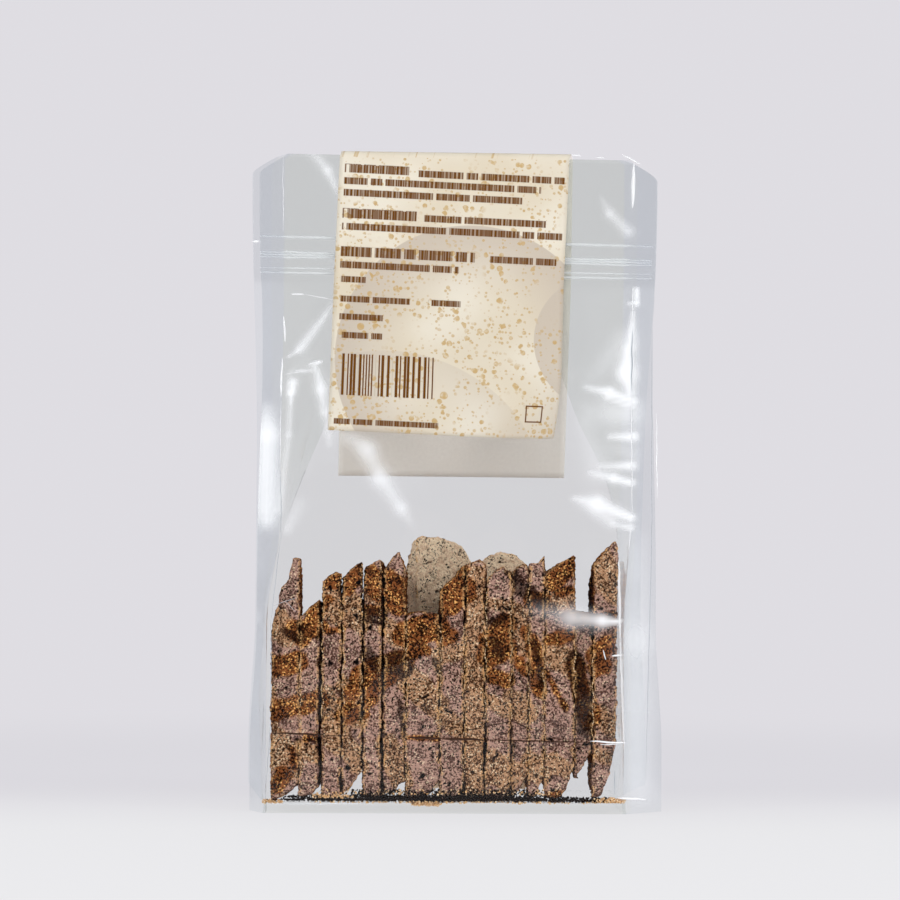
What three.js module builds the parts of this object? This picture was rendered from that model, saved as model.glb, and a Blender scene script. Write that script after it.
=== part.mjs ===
// A filled flat-bottomed zip pouch of biscuit slices, with a folded paper label over its top edge.
// Millimetres, +Z up, front towards -Y, origin at the middle of the base.

import * as THREE from "three";

// Driving dimensions
const WIDTH = 131.4; // over the corner seals
const HEIGHT = 211; // stood on its base
const BASE_DEPTH = 60; // front to back at the floor
const FILL_HEIGHT = 84; // top of the slices
const FILL_DEPTH = 56; // front to back there, at the corners
const SHOULDER_ROUNDING = 8; // where the walls turn in above the slices
const HEADER_THICKNESS = 2; // both walls pressed together above the zip
const FIN_THICKNESS = 0.8; // a sealed corner edge
const FIN_FOOT = 4; // the corner edges narrow down to the floor
const FIN_LEAST = 1; // width of a corner edge at the floor and in the header's corners
// Middle to corner fold: down at the slices, up at the zip, and the heights between which it changes
const CORNER_LEFT = { low: 60.6, high: 56.6, from: 60, to: 92 };
const CORNER_RIGHT = { low: 53.6, high: 56.4, from: 60, to: 105 };
const WAIST = { depth: 2.05, from: 20, full: 62, until: 115, to: 200 }; // the outer edges draw in between
const BACK_SHIFT = 2.6; // the back panel sits this much to the left of the front one at the zip
const GUSSET_FOLD = 28; // how far each side folds in where the pouch closes
const GUSSET_START = 10; // below the top of the slices
const PANEL_BULGE = 3; // how far front and back belly out
const SIDE_BULGE = 1.2;
const BASE_DRIFT = -0.2; // sideways, at the floor
const TOP_LEAN = -0.2; // more of it at the top edge
const TOP_SLOPE = 0.01; // fall of the top edge to the right, as a ratio
const TOP_CORNER = { across: 10, down: 6.5, bend: 1.35 }; // cut of the header's corners, nearly straight

// Zip
const ZIP_HEIGHT = 178; // middle of the closing track
const ZIP_TRACK = { width: 2.6, relief: 0.8 };
const ZIP_RIB = { width: 0.8, relief: 0.4 };
const ZIP_RIBS = [5.7, -4, -5.8]; // guide ribs above and below the track
const ZIP_EDGE = 0.25; // slope at the side of a track or rib
const ZIP_LOWEST = 170; // front and back meet here

// Fold line that the base panel leaves around the pouch
const CREASE = { height: 24, width: 3, relief: 0.7 };

// Label
const LABEL_WIDTH = 74.5;
const LABEL_THICKNESS = 0.6;
const LABEL_GAP = { top: 0.5, zip: ZIP_TRACK.relief + 0.4, reach: 8, end: 4 }; // off header and zip
const LABEL_FRONT_LOW = 120.5;
const LABEL_BACK_LOW = 107;
const LABEL_TILT = { front: 0.041, fold: 0.004, reach: 10 }; // radians, falling to the right
const LABEL_MIDDLE = -0.6;
const LABEL_FOLD = { start: 1, below: 0.3, rise: 1.5 }; // the turn over the top edge
const LABEL_CURL = { reach: 26, lift: 4 }; // lower right corner, off the pouch
const LABEL_BACK = { shift: 1.3, spread: 0.036 }; // the back half lies to the right, more so lower down

// Steps of the faceted forms
const PANEL_STEPS = 16;
const GUSSET_STEPS = 8;
const HEIGHT_STEP = 8;
const CORNER_STEPS = 5;
const LABEL_STEPS = { along: 14, turn: 8, across: 10 };

const lerp = THREE.MathUtils.lerp;
const clamp = THREE.MathUtils.clamp;
const smooth = THREE.MathUtils.smoothstep;

/** The smaller of two values, with the corner between them rounded over the reach. */
function softMin(a, b, reach) {
  const overlap = Math.max(reach - Math.abs(a - b), 0);
  return Math.min(a, b) - (overlap * overlap) / (4 * reach);
}

/** Relief of a raised band across the pouch, with a short slope at each side. */
function band(z, middle, { width, relief }) {
  return relief * clamp((width / 2 + ZIP_EDGE - Math.abs(z - middle)) / ZIP_EDGE, 0, 1);
}

/** Front to back at a corner: nearly straight past the slices, then closing to the zip. */
function depthAt(z) {
  const filled = lerp(BASE_DEPTH, FILL_DEPTH, z / FILL_HEIGHT);
  const fall = (FILL_DEPTH - HEADER_THICKNESS) / (ZIP_LOWEST - FILL_HEIGHT);
  const closing = HEADER_THICKNESS + fall * (ZIP_LOWEST - z);
  return Math.max(softMin(filled, closing, SHOULDER_ROUNDING), HEADER_THICKNESS);
}

/** How much of the back panel's shift there is at a height. */
function shiftShare(z) {
  return smooth(z, FILL_HEIGHT, ZIP_LOWEST);
}

/** How far the outer edges are drawn in at a height. */
function waistAt(z) {
  return WAIST.depth * smooth(z, WAIST.from, WAIST.full) * (1 - smooth(z, WAIST.until, WAIST.to));
}

/** Corner folds and outer seal edges at a height, before the drift and the back panel's shift. */
function sidesAt(z) {
  const rise = clamp((z - (HEIGHT - TOP_CORNER.down)) / TOP_CORNER.down, 0, 1);
  const cut = TOP_CORNER.across * rise ** TOP_CORNER.bend;
  const outer = WIDTH / 2 - waistAt(z) - (BACK_SHIFT / 2) * shiftShare(z) - cut;
  const foot = clamp(z / FIN_FOOT, 0, 1);
  const corner = ({ low, high, from, to }) => Math.min(lerp(low, high, smooth(z, from, to)), outer - FIN_LEAST);
  const left = corner(CORNER_LEFT);
  const right = corner(CORNER_RIGHT);
  return {
    left: -left,
    right,
    leftEdge: -lerp(left + FIN_LEAST, outer, foot),
    rightEdge: lerp(right + FIN_LEAST, outer, foot),
  };
}

/** How far the front or back stands out from the middle plane. */
function panelAt(x, z) {
  const { left, right } = sidesAt(z);
  const across = clamp((2 * (x - left)) / (right - left) - 1, -1, 1);
  const belly = PANEL_BULGE * Math.sin(Math.PI * clamp(z / ZIP_LOWEST, 0, 1));
  return depthAt(z) / 2 + belly * (1 - across * across);
}

/** Zip track and ribs stand out, and the base fold is pressed in. */
function reliefAt(z) {
  const ribs = ZIP_RIBS.reduce((sum, rise) => sum + band(z, ZIP_HEIGHT + rise, ZIP_RIB), 0);
  const fold = 1 - Math.min(Math.abs(z - CREASE.height) / (CREASE.width / 2), 1);
  return band(z, ZIP_HEIGHT, ZIP_TRACK) + ribs - CREASE.relief * fold;
}

/** How far the side folds in at its middle. */
function gussetAt(z) {
  const folded = smooth(z, FILL_HEIGHT - GUSSET_START, ZIP_LOWEST);
  return GUSSET_FOLD * folded - SIDE_BULGE * Math.sin(Math.PI * clamp(z / FILL_HEIGHT, 0, 1));
}

/** The pouch drifts to the left as it rises, its back more so, and its top falls to the right. */
function lean(x, y, z) {
  const rise = z / HEIGHT;
  const back = y / (depthAt(z) / 2);
  const drift = BASE_DRIFT + TOP_LEAN * rise - (BACK_SHIFT / 2) * shiftShare(z) * clamp(back, -1, 1);
  return [x + drift, y, z - TOP_SLOPE * x * rise];
}

/** Outline of the pouch at a height, anticlockwise from the front left corner. */
function sectionAt(z) {
  const { left, right, leftEdge, rightEdge } = sidesAt(z);
  const half = depthAt(z) / 2;
  const points = [];

  const panel = (front) => {
    for (let step = 0; step <= PANEL_STEPS; step += 1) {
      const x = front ? lerp(left, right, step / PANEL_STEPS) : lerp(right, left, step / PANEL_STEPS);
      const inside = step > 0 && step < PANEL_STEPS;
      const out = panelAt(x, z) + (inside ? reliefAt(z) : 0);
      points.push([x, front ? -out : out]);
    }
  };

  const side = (corner, edge, from) => {
    const inward = Math.sign(corner);
    points.push([edge, from * half], [edge, from * (half - FIN_THICKNESS)]);
    for (let step = 0; step <= GUSSET_STEPS; step += 1) {
      const across = step / GUSSET_STEPS;
      const fold = 1 - Math.abs(2 * across - 1);
      const y = lerp(from, -from, across) * (half - FIN_THICKNESS);
      points.push([corner - inward * fold * gussetAt(z), y]);
    }
    points.push([edge, -from * (half - FIN_THICKNESS)], [edge, -from * half]);
  };

  panel(true);
  side(right, rightEdge, -1);
  panel(false);
  side(left, leftEdge, 1);
  return points;
}

/** Heights of the outlines, closer together where the shape changes. */
function sectionHeights() {
  const heights = new Set([0, FIN_FOOT, HEIGHT]);
  for (let z = HEIGHT_STEP; z < HEIGHT - TOP_CORNER.down; z += HEIGHT_STEP) {
    heights.add(z);
  }
  for (const share of [-0.5, 0, 0.5]) {
    heights.add(CREASE.height + share * CREASE.width);
  }
  for (const [middle, { width }] of [
    [ZIP_HEIGHT, ZIP_TRACK],
    ...ZIP_RIBS.map((rise) => [ZIP_HEIGHT + rise, ZIP_RIB]),
  ]) {
    for (const share of [-0.5, 0.5]) {
      heights.add(middle + share * width);
      heights.add(middle + share * (width + 2 * ZIP_EDGE));
    }
  }
  for (let step = 0; step < CORNER_STEPS; step += 1) {
    heights.add(HEIGHT - TOP_CORNER.down * (1 - step / CORNER_STEPS));
  }
  return [...heights].sort((a, b) => a - b).filter((z, i, all) => i === 0 || z - all[i - 1] > 0.15);
}

/** Closed solid through a stack of outlines that all have the same number of points. */
function stackSolid(heights, outlineAt, place) {
  const outlines = heights.map(outlineAt);
  const count = outlines[0].length;
  const positions = outlines.flatMap((outline, level) =>
    outline.flatMap(([x, y]) => place(x, y, heights[level])),
  );
  const faces = [];
  for (let level = 0; level + 1 < heights.length; level += 1) {
    for (let i = 0; i < count; i += 1) {
      const a = level * count + i;
      const b = level * count + ((i + 1) % count);
      faces.push(a, b, b + count, a, b + count, a + count);
    }
  }
  const cap = (level, up) => {
    const outline = outlines[level].map(([x, y]) => new THREE.Vector2(x, y));
    for (const [a, b, c] of THREE.ShapeUtils.triangulateShape(outline, [])) {
      const start = level * count;
      faces.push(...(up ? [start + a, start + b, start + c] : [start + a, start + c, start + b]));
    }
  };
  cap(0, false);
  cap(heights.length - 1, true);
  return solidFrom(positions, faces);
}

function solidFrom(positions, faces) {
  const geometry = new THREE.BufferGeometry();
  geometry.setAttribute("position", new THREE.Float32BufferAttribute(positions, 3));
  geometry.setIndex(faces);
  geometry.computeVertexNormals();
  return geometry;
}

/** Stations along the label from its front lower edge, over the top, to its back lower edge. */
function labelStations() {
  const stations = [];
  const drop = (low, side) => {
    const panel = [];
    for (let step = 0; step < LABEL_STEPS.along; step += 1) {
      panel.push({ side, z: lerp(low, HEIGHT - LABEL_FOLD.start, step / LABEL_STEPS.along) });
    }
    return panel;
  };
  stations.push(...drop(LABEL_FRONT_LOW, -1));
  for (let step = 0; step <= LABEL_STEPS.turn; step += 1) {
    stations.push({ turn: (step / LABEL_STEPS.turn) * Math.PI });
  }
  stations.push(...drop(LABEL_BACK_LOW, 1).reverse());
  return stations;
}

/** Gap from the pouch, wide enough from the zip down to pass its track. */
function labelGap(z) {
  return lerp(LABEL_GAP.zip, LABEL_GAP.top, smooth(z, ZIP_HEIGHT + LABEL_GAP.reach, HEIGHT - LABEL_GAP.end));
}

/** Point on the label's inner face (out = 0) or outer face (out = thickness). */
function labelPoint(station, x, out) {
  const fold = HEADER_THICKNESS / 2 + LABEL_GAP.top;
  let z = station.z;
  let y = 0;
  if (station.side === undefined) {
    y = -(fold + out) * Math.cos(station.turn);
    z = HEIGHT - LABEL_FOLD.below + (LABEL_FOLD.rise + out) * Math.sin(station.turn);
  }
  const below = z - HEIGHT;
  const tiltedX = LABEL_MIDDLE + x + below * LABEL_TILT.front + backShift(station);
  const tiltedZ = z - x * labelTilt(station);
  if (station.side !== undefined) {
    y = station.side * (panelAt(tiltedX - LABEL_MIDDLE, tiltedZ) + labelGap(tiltedZ) + out);
    y += station.side < 0 ? -cornerCurl(x, z) : 0;
  }
  return [tiltedX, y, tiltedZ];
}

/** Slope of the sheet: the fold and the back lie level, and the front turns from the fold down. */
function labelTilt({ side, z }) {
  if (side === undefined || side > 0) {
    return LABEL_TILT.fold;
  }
  return lerp(LABEL_TILT.fold, LABEL_TILT.front, smooth(HEIGHT - z, 0, LABEL_TILT.reach));
}

/** How far the sheet lies to the right past the fold, because it isn't folded quite square. */
function backShift({ side, turn, z }) {
  if (side === undefined) {
    return (LABEL_BACK.shift * turn) / Math.PI;
  }
  return side < 0 ? 0 : LABEL_BACK.shift + LABEL_BACK.spread * (HEIGHT - z);
}

/** The lower right corner of the front lifts off the pouch. */
function cornerCurl(x, z) {
  const away = (LABEL_WIDTH / 2 - x + (z - LABEL_FRONT_LOW)) / LABEL_CURL.reach;
  return LABEL_CURL.lift * Math.max(1 - away, 0) ** 2;
}

function labelGeometry() {
  const columns = LABEL_STEPS.across;
  const stations = labelStations();
  const positions = [];
  for (const out of [0, LABEL_THICKNESS]) {
    for (const station of stations) {
      for (let column = 0; column <= columns; column += 1) {
        positions.push(...labelPoint(station, (column / columns - 0.5) * LABEL_WIDTH, out));
      }
    }
  }
  const stride = columns + 1;
  const layer = stations.length * stride;
  const faces = [];
  const quad = (a, b, c, d) => faces.push(a, b, c, a, c, d);
  for (let row = 0; row + 1 < stations.length; row += 1) {
    for (let column = 0; column < columns; column += 1) {
      const a = row * stride + column;
      quad(layer + a, layer + a + 1, layer + a + 1 + stride, layer + a + stride);
      quad(a, a + stride, a + stride + 1, a + 1);
    }
    const left = row * stride;
    const right = left + columns;
    quad(left, layer + left, layer + left + stride, left + stride);
    quad(right, right + stride, layer + right + stride, layer + right);
  }
  const last = (stations.length - 1) * stride;
  for (let column = 0; column < columns; column += 1) {
    quad(column, column + 1, layer + column + 1, layer + column);
    const a = last + column;
    quad(a, layer + a, layer + a + 1, a + 1);
  }
  return solidFrom(positions, faces);
}

function pouch() {
  const material = new THREE.MeshStandardMaterial({ color: 0xcdd0d2, roughness: 0.18, metalness: 0 });
  const mesh = new THREE.Mesh(stackSolid(sectionHeights(), sectionAt, lean), material);
  mesh.name = "pouch";
  return mesh;
}

function label() {
  const material = new THREE.MeshStandardMaterial({ color: 0xdecfb6, roughness: 0.8, metalness: 0 });
  const mesh = new THREE.Mesh(labelGeometry(), material);
  mesh.name = "label";
  return mesh;
}

const group = new THREE.Group();
group.add(pouch(), label());

export default group;
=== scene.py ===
"""A clear flat-bottomed zip pouch of biscotti: film, zip, slices, crumbs and a folded paper label."""

import math
import random
from collections import namedtuple

import bmesh
import bpy
import numpy as np
from mathutils import Matrix, Vector, geometry, noise
from mathutils.bvhtree import BVHTree


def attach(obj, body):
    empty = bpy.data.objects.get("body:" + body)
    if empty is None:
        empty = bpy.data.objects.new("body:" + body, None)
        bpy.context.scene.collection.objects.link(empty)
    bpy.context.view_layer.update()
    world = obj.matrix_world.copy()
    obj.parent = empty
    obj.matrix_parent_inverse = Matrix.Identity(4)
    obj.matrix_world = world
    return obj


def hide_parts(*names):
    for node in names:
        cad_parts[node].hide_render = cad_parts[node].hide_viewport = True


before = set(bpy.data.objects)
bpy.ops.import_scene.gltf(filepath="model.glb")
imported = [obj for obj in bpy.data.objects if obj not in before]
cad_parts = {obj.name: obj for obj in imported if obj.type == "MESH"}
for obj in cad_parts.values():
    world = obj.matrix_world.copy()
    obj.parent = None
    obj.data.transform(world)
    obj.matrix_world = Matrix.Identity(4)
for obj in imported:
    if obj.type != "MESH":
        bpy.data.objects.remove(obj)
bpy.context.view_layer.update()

bl_info = {
    "name": "Biscotti Pouch",
    "version": (1, 0, 0),
    "blender": (4, 5, 0),
    "location": "View3D > Sidebar > Pouch",
    "description": "Makes a filled clear zip pouch of biscotti slices with a paper label",
    "category": "Object",
}

MM = 0.001

# Walls of the pouch, in millimetres, as its solid has them
HEADER_THICKNESS = 2.0
SHOULDER_ROUNDING = 8.0
FRONT_FIN_FOOT = 0.8
BACK_FIN_FOOT = 5.6
FIN_LEAST = 1.0
GUSSET_FOLD = 28.0
GUSSET_START = 10.0
PANEL_BULGE = 3.0
SIDE_BULGE = 1.2
BACK_SHIFT = 2.6
BASE_DRIFT = -0.2
TOP_LEAN = -0.2
TOP_SLOPE = 0.01
TOP_CORNER_ACROSS = 10.0
TOP_CORNER_DOWN = 6.5
TOP_CORNER_BEND = 1.35
WAIST_DEPTH = 2.05
CREASE_HEIGHT = 24.0
ZIP_TRACK_RELIEF = 0.8

# Rounding where the walls meet under the zip
ZIP_ROUNDING = 3.0

# Middle to corner fold: down at the slices, up at the zip, and the heights between which it changes
Corner = namedtuple("Corner", "low high start end")
LEFT_CORNER = Corner(60.6, 56.6, 60.0, 92.0)
RIGHT_CORNER = Corner(53.6, 56.4, 60.0, 105.0)


# ---------------------------------------------------------------------------------------------
# Sizes and colours that a user would change
# ---------------------------------------------------------------------------------------------


def length(name, description, millimetres):
    """A length property, with its default given in millimetres."""
    return bpy.props.FloatProperty(
        name=name, description=description, default=millimetres * MM, unit="LENGTH", min=0.0
    )


def colour(name, description, default):
    """A linear colour property."""
    return bpy.props.FloatVectorProperty(
        name=name, description=description, default=default, size=3, min=0.0, max=1.0, subtype="COLOR"
    )


class PouchSizes(bpy.types.PropertyGroup):
    """Driving sizes of the filled pouch and its label."""

    width: length("Width", "Over the corner seals", 131.4)
    height: length("Height", "Floor to top edge", 211)
    base_depth: length("Base depth", "Front to back at the floor", 60)
    fill_height: length("Fill height", "Top of the slices", 84)
    fill_depth: length("Fill depth", "Front to back at the top of the slices", 56)
    zip_height: length("Zip height", "Middle of the closing track", 178)
    zip_lowest: length("Closing height", "Where front and back meet", 170)
    base_lift: length("Base lift", "Height of the base panel above the floor", 3.5)
    crumple: length("Crumple", "Depth of the film's dents", 0.6)
    label_width: length("Label width", "Width of the folded label", 74.5)
    label_thickness: length("Label thickness", "Thickness of the label's paper", 0.22)


class SliceSizes(bpy.types.PropertyGroup):
    """Sizes of the biscotti slices and their crumbs."""

    depth: length("Depth", "Front to back of a slice", 39)
    corner: length("Corner radius", "Rounding of a slice's ends, seen from the side", 7)
    relief: length("Relief", "Depth of lumps on a slice", 0.45)
    pits: length("Pits", "Depth of the holes in the crumb", 0.9)
    crumb: length("Crumb size", "Width of a middling loose crumb", 0.55)
    crumbs: bpy.props.IntProperty(name="Crumbs", description="Loose crumbs in the pouch", default=6400, min=0)


class PouchColours(bpy.types.PropertyGroup):
    """Colours of the film, the crumb and the label."""

    film: colour("Film", "What the film lets through", (0.954, 0.962, 0.952))
    seal: colour("Seals", "What the corner seals let through", (0.960, 0.970, 0.976))
    plastic: colour("Zip", "Milky plastic of the zip", (0.88, 0.88, 0.90))
    crust: colour("Crust", "Dark baked crumb", (0.015, 0.0048, 0.0016))
    crumb: colour("Crumb", "Middling baked crumb", (0.270, 0.085, 0.026))
    grain: colour("Grain", "Golden grains in the baked crumb", (1.0, 0.52, 0.17))
    dust_shade: colour("Dust shade", "Darker parts of the tan crumb", (0.062, 0.024, 0.010))
    dust: colour("Dust", "Tan crumb", (0.52, 0.285, 0.160))
    # Painted reflection: crumb greyed by the film's mirrored haze, in darker and lighter parts
    reflection_veil_dark: colour("Veil shade", "Darker parts of the crumb that the film greys", (0.090, 0.042, 0.032))
    reflection_veil: colour("Veil", "Crumb that the film greys", (0.500, 0.295, 0.235))
    sugar: colour("Sugar", "Palest grains", (1.0, 0.78, 0.54))
    rim: colour("Rim", "Crumbs along a slice's edges", (0.72, 0.40, 0.17))
    # Painted shade: near black for the holes and pits, and for the darkest loose crumbs that stand for the shadow
    # under the slices
    painted_shade_black: colour("Pit", "Inside of the holes", (0.006, 0.004, 0.004))
    # Darkest streaks: scorched crumb, and one painted shade beside a gap
    burnt_and_shade: colour("Burnt", "Darkest streaks", (0.020, 0.0065, 0.003))
    # Painted light: the turned slices' cut face and its darker parts are brightened to make up for the light the row
    # keeps off them
    brightened_cut_face: colour("Cut face", "Pale cut face of the turned slices", (1.0, 0.80, 0.58))
    cut_shade: colour("Cut shade", "Darker parts of the cut face", (0.80, 0.56, 0.39))
    paper: colour("Paper", "Cream ground of the label", (0.665, 0.580, 0.448))
    disc: colour("Discs", "Shade of the label's large discs", (0.525, 0.448, 0.368))
    spot: colour("Spots", "Ochre spots on the label", (0.52, 0.34, 0.13))
    pale_paper: colour("Pale paper", "Palest parts of the ground", (0.735, 0.672, 0.560))
    bare_paper: colour("Bare paper", "Inner side of the label", (0.95, 0.88, 0.84))
    ink: colour("Ink", "Brown print of the label", (0.135, 0.045, 0.003))
    back: colour("Backdrop", "Pale studio ground", (0.738, 0.724, 0.763))


class Studio(bpy.types.PropertyGroup):
    """Camera and light."""

    distance: length("Camera distance", "Camera to the middle of the pouch", 1600)
    eye: length("Camera height", "Camera above the floor", 115.87)
    azimuth: bpy.props.FloatProperty(
        name="Azimuth", description="Camera's turn to the left", default=math.radians(2.761), subtype="ANGLE"
    )
    roll: bpy.props.FloatProperty(
        name="Roll", description="Camera's clockwise roll", default=math.radians(0.413), subtype="ANGLE"
    )
    lens: bpy.props.FloatProperty(
        name="Lens", description="Focal length in millimetres on a 36 mm sensor", default=197.1, min=1.0
    )
    softbox: bpy.props.FloatProperty(
        name="Softbox", description="Brightness of the side softboxes", default=5.0, min=0.0
    )
    fill: bpy.props.FloatProperty(
        name="Fill", description="Brightness of the light from the front", default=0.8, min=0.0
    )


SETTINGS = {
    "pouch_sizes": PouchSizes,
    "slice_sizes": SliceSizes,
    "pouch_colours": PouchColours,
    "pouch_studio": Studio,
}


# ---------------------------------------------------------------------------------------------
# Numbers
# ---------------------------------------------------------------------------------------------


def lerp(a, b, share):
    return a + (b - a) * share


def smooth(x, low, high):
    share = np.clip((x - low) / (high - low), 0, 1)
    return share * share * (3 - 2 * share)


def soft_min(a, b, reach):
    """The smaller of two values, with the corner between them rounded over the reach."""
    overlap = np.maximum(reach - np.abs(a - b), 0)
    return np.minimum(a, b) - overlap * overlap / (4 * reach)


def ripple(points, size, seed):
    """Smooth noise between about -1 and 1 at each point, with lumps of the given size."""
    offset = Vector((seed * 17.3, seed * 5.1, seed * 9.7))
    return np.array([noise.noise(Vector(point) / size + offset) for point in points])


def facets(across, up, size, stretch, slant, seed):
    """Crumpled sheet: flat facets between creases, with heights from -1 to 1. Facets are longer along the slant."""
    cos, sin = math.cos(slant), math.sin(slant)
    along = (across * cos + up * sin) / stretch
    aside = up * cos - across * sin
    chance = random.Random(seed)
    corners, heights = [], []
    for i in range(math.floor(along.min() / size) - 2, math.ceil(along.max() / size) + 3):
        for j in range(math.floor(aside.min() / size) - 2, math.ceil(aside.max() / size) + 3):
            shift = [chance.uniform(-0.42, 0.42), chance.uniform(-0.42, 0.42)]
            corners.append(Vector(((i + shift[0]) * size, (j + shift[1]) * size)))
            heights.append(chance.uniform(-1, 1))
    points, _, triangles, origins, _, _ = geometry.delaunay_2d_cdt(corners, [], [], 0, 1e-6)
    raised = [(*point, heights[origin[0]]) for point, origin in zip(points, origins)]
    tree = BVHTree.FromPolygons(raised, triangles)
    down = Vector((0, 0, -1))
    return np.array([tree.ray_cast(Vector((a, b, 9)), down)[0].z for a, b in zip(along, aside)])


# ---------------------------------------------------------------------------------------------
# Form of the filled pouch
# ---------------------------------------------------------------------------------------------


class PouchForm:
    """Walls of the filled pouch as functions of height, in millimetres."""

    def __init__(self, sizes):
        self.width = sizes.width / MM
        self.height = sizes.height / MM
        self.base_depth = sizes.base_depth / MM
        self.fill_height = sizes.fill_height / MM
        self.fill_depth = sizes.fill_depth / MM
        self.zip_height = sizes.zip_height / MM
        self.zip_lowest = sizes.zip_lowest / MM
        self.base_lift = sizes.base_lift / MM

    def depth(self, z):
        """Front to back at a corner."""
        filled = lerp(self.base_depth, self.fill_depth, z / self.fill_height)
        fall = (self.fill_depth - HEADER_THICKNESS) / (self.zip_lowest - self.fill_height)
        closing = HEADER_THICKNESS + fall * (self.zip_lowest - z)
        return -soft_min(-soft_min(filled, closing, SHOULDER_ROUNDING), -HEADER_THICKNESS, ZIP_ROUNDING)

    def outer(self, z):
        """Outer edge of the corner seals, to either side."""
        waist = WAIST_DEPTH * smooth(z, 20, 62) * (1 - smooth(z, 115, 200))
        rise = np.clip((z - (self.height - TOP_CORNER_DOWN)) / TOP_CORNER_DOWN, 0, 1)
        cut = TOP_CORNER_ACROSS * rise**TOP_CORNER_BEND
        return self.width / 2 - waist - BACK_SHIFT / 2 * self.shift_share(z) - cut

    def sides(self, z):
        """Corner folds, left and right."""
        room = self.outer(z) - FIN_LEAST
        left, right = (
            np.minimum(lerp(corner.low, corner.high, smooth(z, corner.start, corner.end)), room)
            for corner in (LEFT_CORNER, RIGHT_CORNER)
        )
        return -left, right

    def seal_edges(self, z, foot):
        """Outer edges of the corner seals, left and right. They narrow down to the floor."""
        left, right = self.sides(z)
        share = np.clip(z / foot, 0, 1)
        outer = self.outer(z)
        return lerp(left - FIN_LEAST, -outer, share), lerp(right + FIN_LEAST, outer, share)

    def shift_share(self, z):
        """How much of the back panel's shift there is at a height."""
        return smooth(z, self.fill_height, self.zip_lowest)

    def panel(self, x, z):
        """How far the front or back stands out from the middle plane."""
        left, right = self.sides(z)
        across = np.clip(2 * (x - left) / (right - left) - 1, -1, 1)
        belly = PANEL_BULGE * np.sin(np.pi * np.clip(z / self.zip_lowest, 0, 1))
        return self.depth(z) / 2 + belly * (1 - across * across)

    def gusset(self, z):
        """How far the side folds in at its middle."""
        folded = smooth(z, self.fill_height - GUSSET_START, self.zip_lowest)
        return GUSSET_FOLD * folded - SIDE_BULGE * np.sin(np.pi * np.clip(z / self.fill_height, 0, 1))

    def lean(self, points):
        """The pouch drifts to the left as it rises, its back more so, and its top falls to the right."""
        x, y, z = points.T
        rise = z / self.height
        back = np.clip(y / (self.depth(z) / 2), -1, 1)
        drift = BASE_DRIFT + TOP_LEAN * rise - BACK_SHIFT / 2 * self.shift_share(z) * back
        return np.stack([x + drift, y, z - TOP_SLOPE * x * rise], axis=1)


# ---------------------------------------------------------------------------------------------
# Meshes
# ---------------------------------------------------------------------------------------------


def grid_faces(rows, columns, wrap=False):
    """Quads of a grid of points, row by row, with the last column joined to the first if it wraps."""
    across = columns if wrap else columns - 1
    row, column = np.meshgrid(np.arange(rows - 1), np.arange(across), indexing="ij")
    a = row * columns + column
    b = row * columns + (column + 1) % columns
    return np.stack([a, b, b + columns, a + columns], axis=-1).reshape(-1, 4)


def mesh_from(name, points, faces):
    """A mesh from points in millimetres."""
    mesh = bpy.data.meshes.new(name)
    mesh.from_pydata((np.asarray(points) * MM).tolist(), [], [list(map(int, face)) for face in faces])
    mesh.update()
    return mesh


def object_of(mesh, material=None, sharp=None):
    """An object in the scene that shows a mesh with one material, smooth up to an angle in degrees."""
    piece = bpy.data.objects.new(mesh.name, mesh)
    bpy.context.scene.collection.objects.link(piece)
    if material:
        mesh.materials.append(material)
    mesh.shade_smooth()
    if sharp is not None:
        mesh.set_sharp_from_angle(angle=math.radians(sharp))
    return piece


def finished(piece, node):
    """Says what a piece rides on and which part of the solid it stands for."""
    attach(piece, "root")
    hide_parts(node)


def point_attribute(mesh, name, values):
    attribute = mesh.attributes.new(name, "FLOAT", "POINT")
    attribute.data.foreach_set("value", np.asarray(values, np.float32))


def grown(guide, tree, values):
    """The mesh that a Geometry Nodes tree grows on a guide mesh, with the tree's inputs set by name."""
    piece = object_of(guide)
    modifier = piece.modifiers.new("grow", "NODES")
    modifier.node_group = tree
    for socket in tree.interface.items_tree:
        if socket.name in values:
            modifier[socket.identifier] = values[socket.name]
    depsgraph = bpy.context.evaluated_depsgraph_get()
    mesh = bpy.data.meshes.new_from_object(
        piece.evaluated_get(depsgraph), preserve_all_data_layers=True, depsgraph=depsgraph
    )
    piece.modifiers.remove(modifier)
    bpy.data.objects.remove(piece)
    bpy.data.meshes.remove(guide)
    return mesh


# ---------------------------------------------------------------------------------------------
# Node trees
# ---------------------------------------------------------------------------------------------


class Value:
    """A node's socket that works in a Python expression. Each operation adds its Math node."""

    def __init__(self, tree, socket):
        self.tree = tree
        self.socket = socket

    def maths(self, operation, *operands):
        return self.tree.add("ShaderNodeMath", {"operation": operation}, dict(enumerate(operands)))

    def __add__(self, other):
        return self.maths("ADD", self, other)

    def __sub__(self, other):
        return self.maths("SUBTRACT", self, other)

    def __rsub__(self, other):
        return self.maths("SUBTRACT", other, self)

    def __mul__(self, other):
        return self.maths("MULTIPLY", self, other)

    def __pow__(self, other):
        return self.maths("POWER", self, other)

    def __gt__(self, other):
        return self.maths("GREATER_THAN", self, other)

    __rmul__ = __mul__

    def absolute(self):
        return self.maths("ABSOLUTE", self)

    def floor(self):
        return self.maths("FLOOR", self)

    def __radd__(self, other):
        return self + other

    def largest(self, other):
        return self.maths("MAXIMUM", self, other)

    def ramp(self, low, high):
        """0 below low and 1 above high, smooth between."""
        settings = {"interpolation_type": "SMOOTHSTEP"}
        return self.tree.add("ShaderNodeMapRange", settings, {"Value": self, "From Min": low, "From Max": high})


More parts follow.
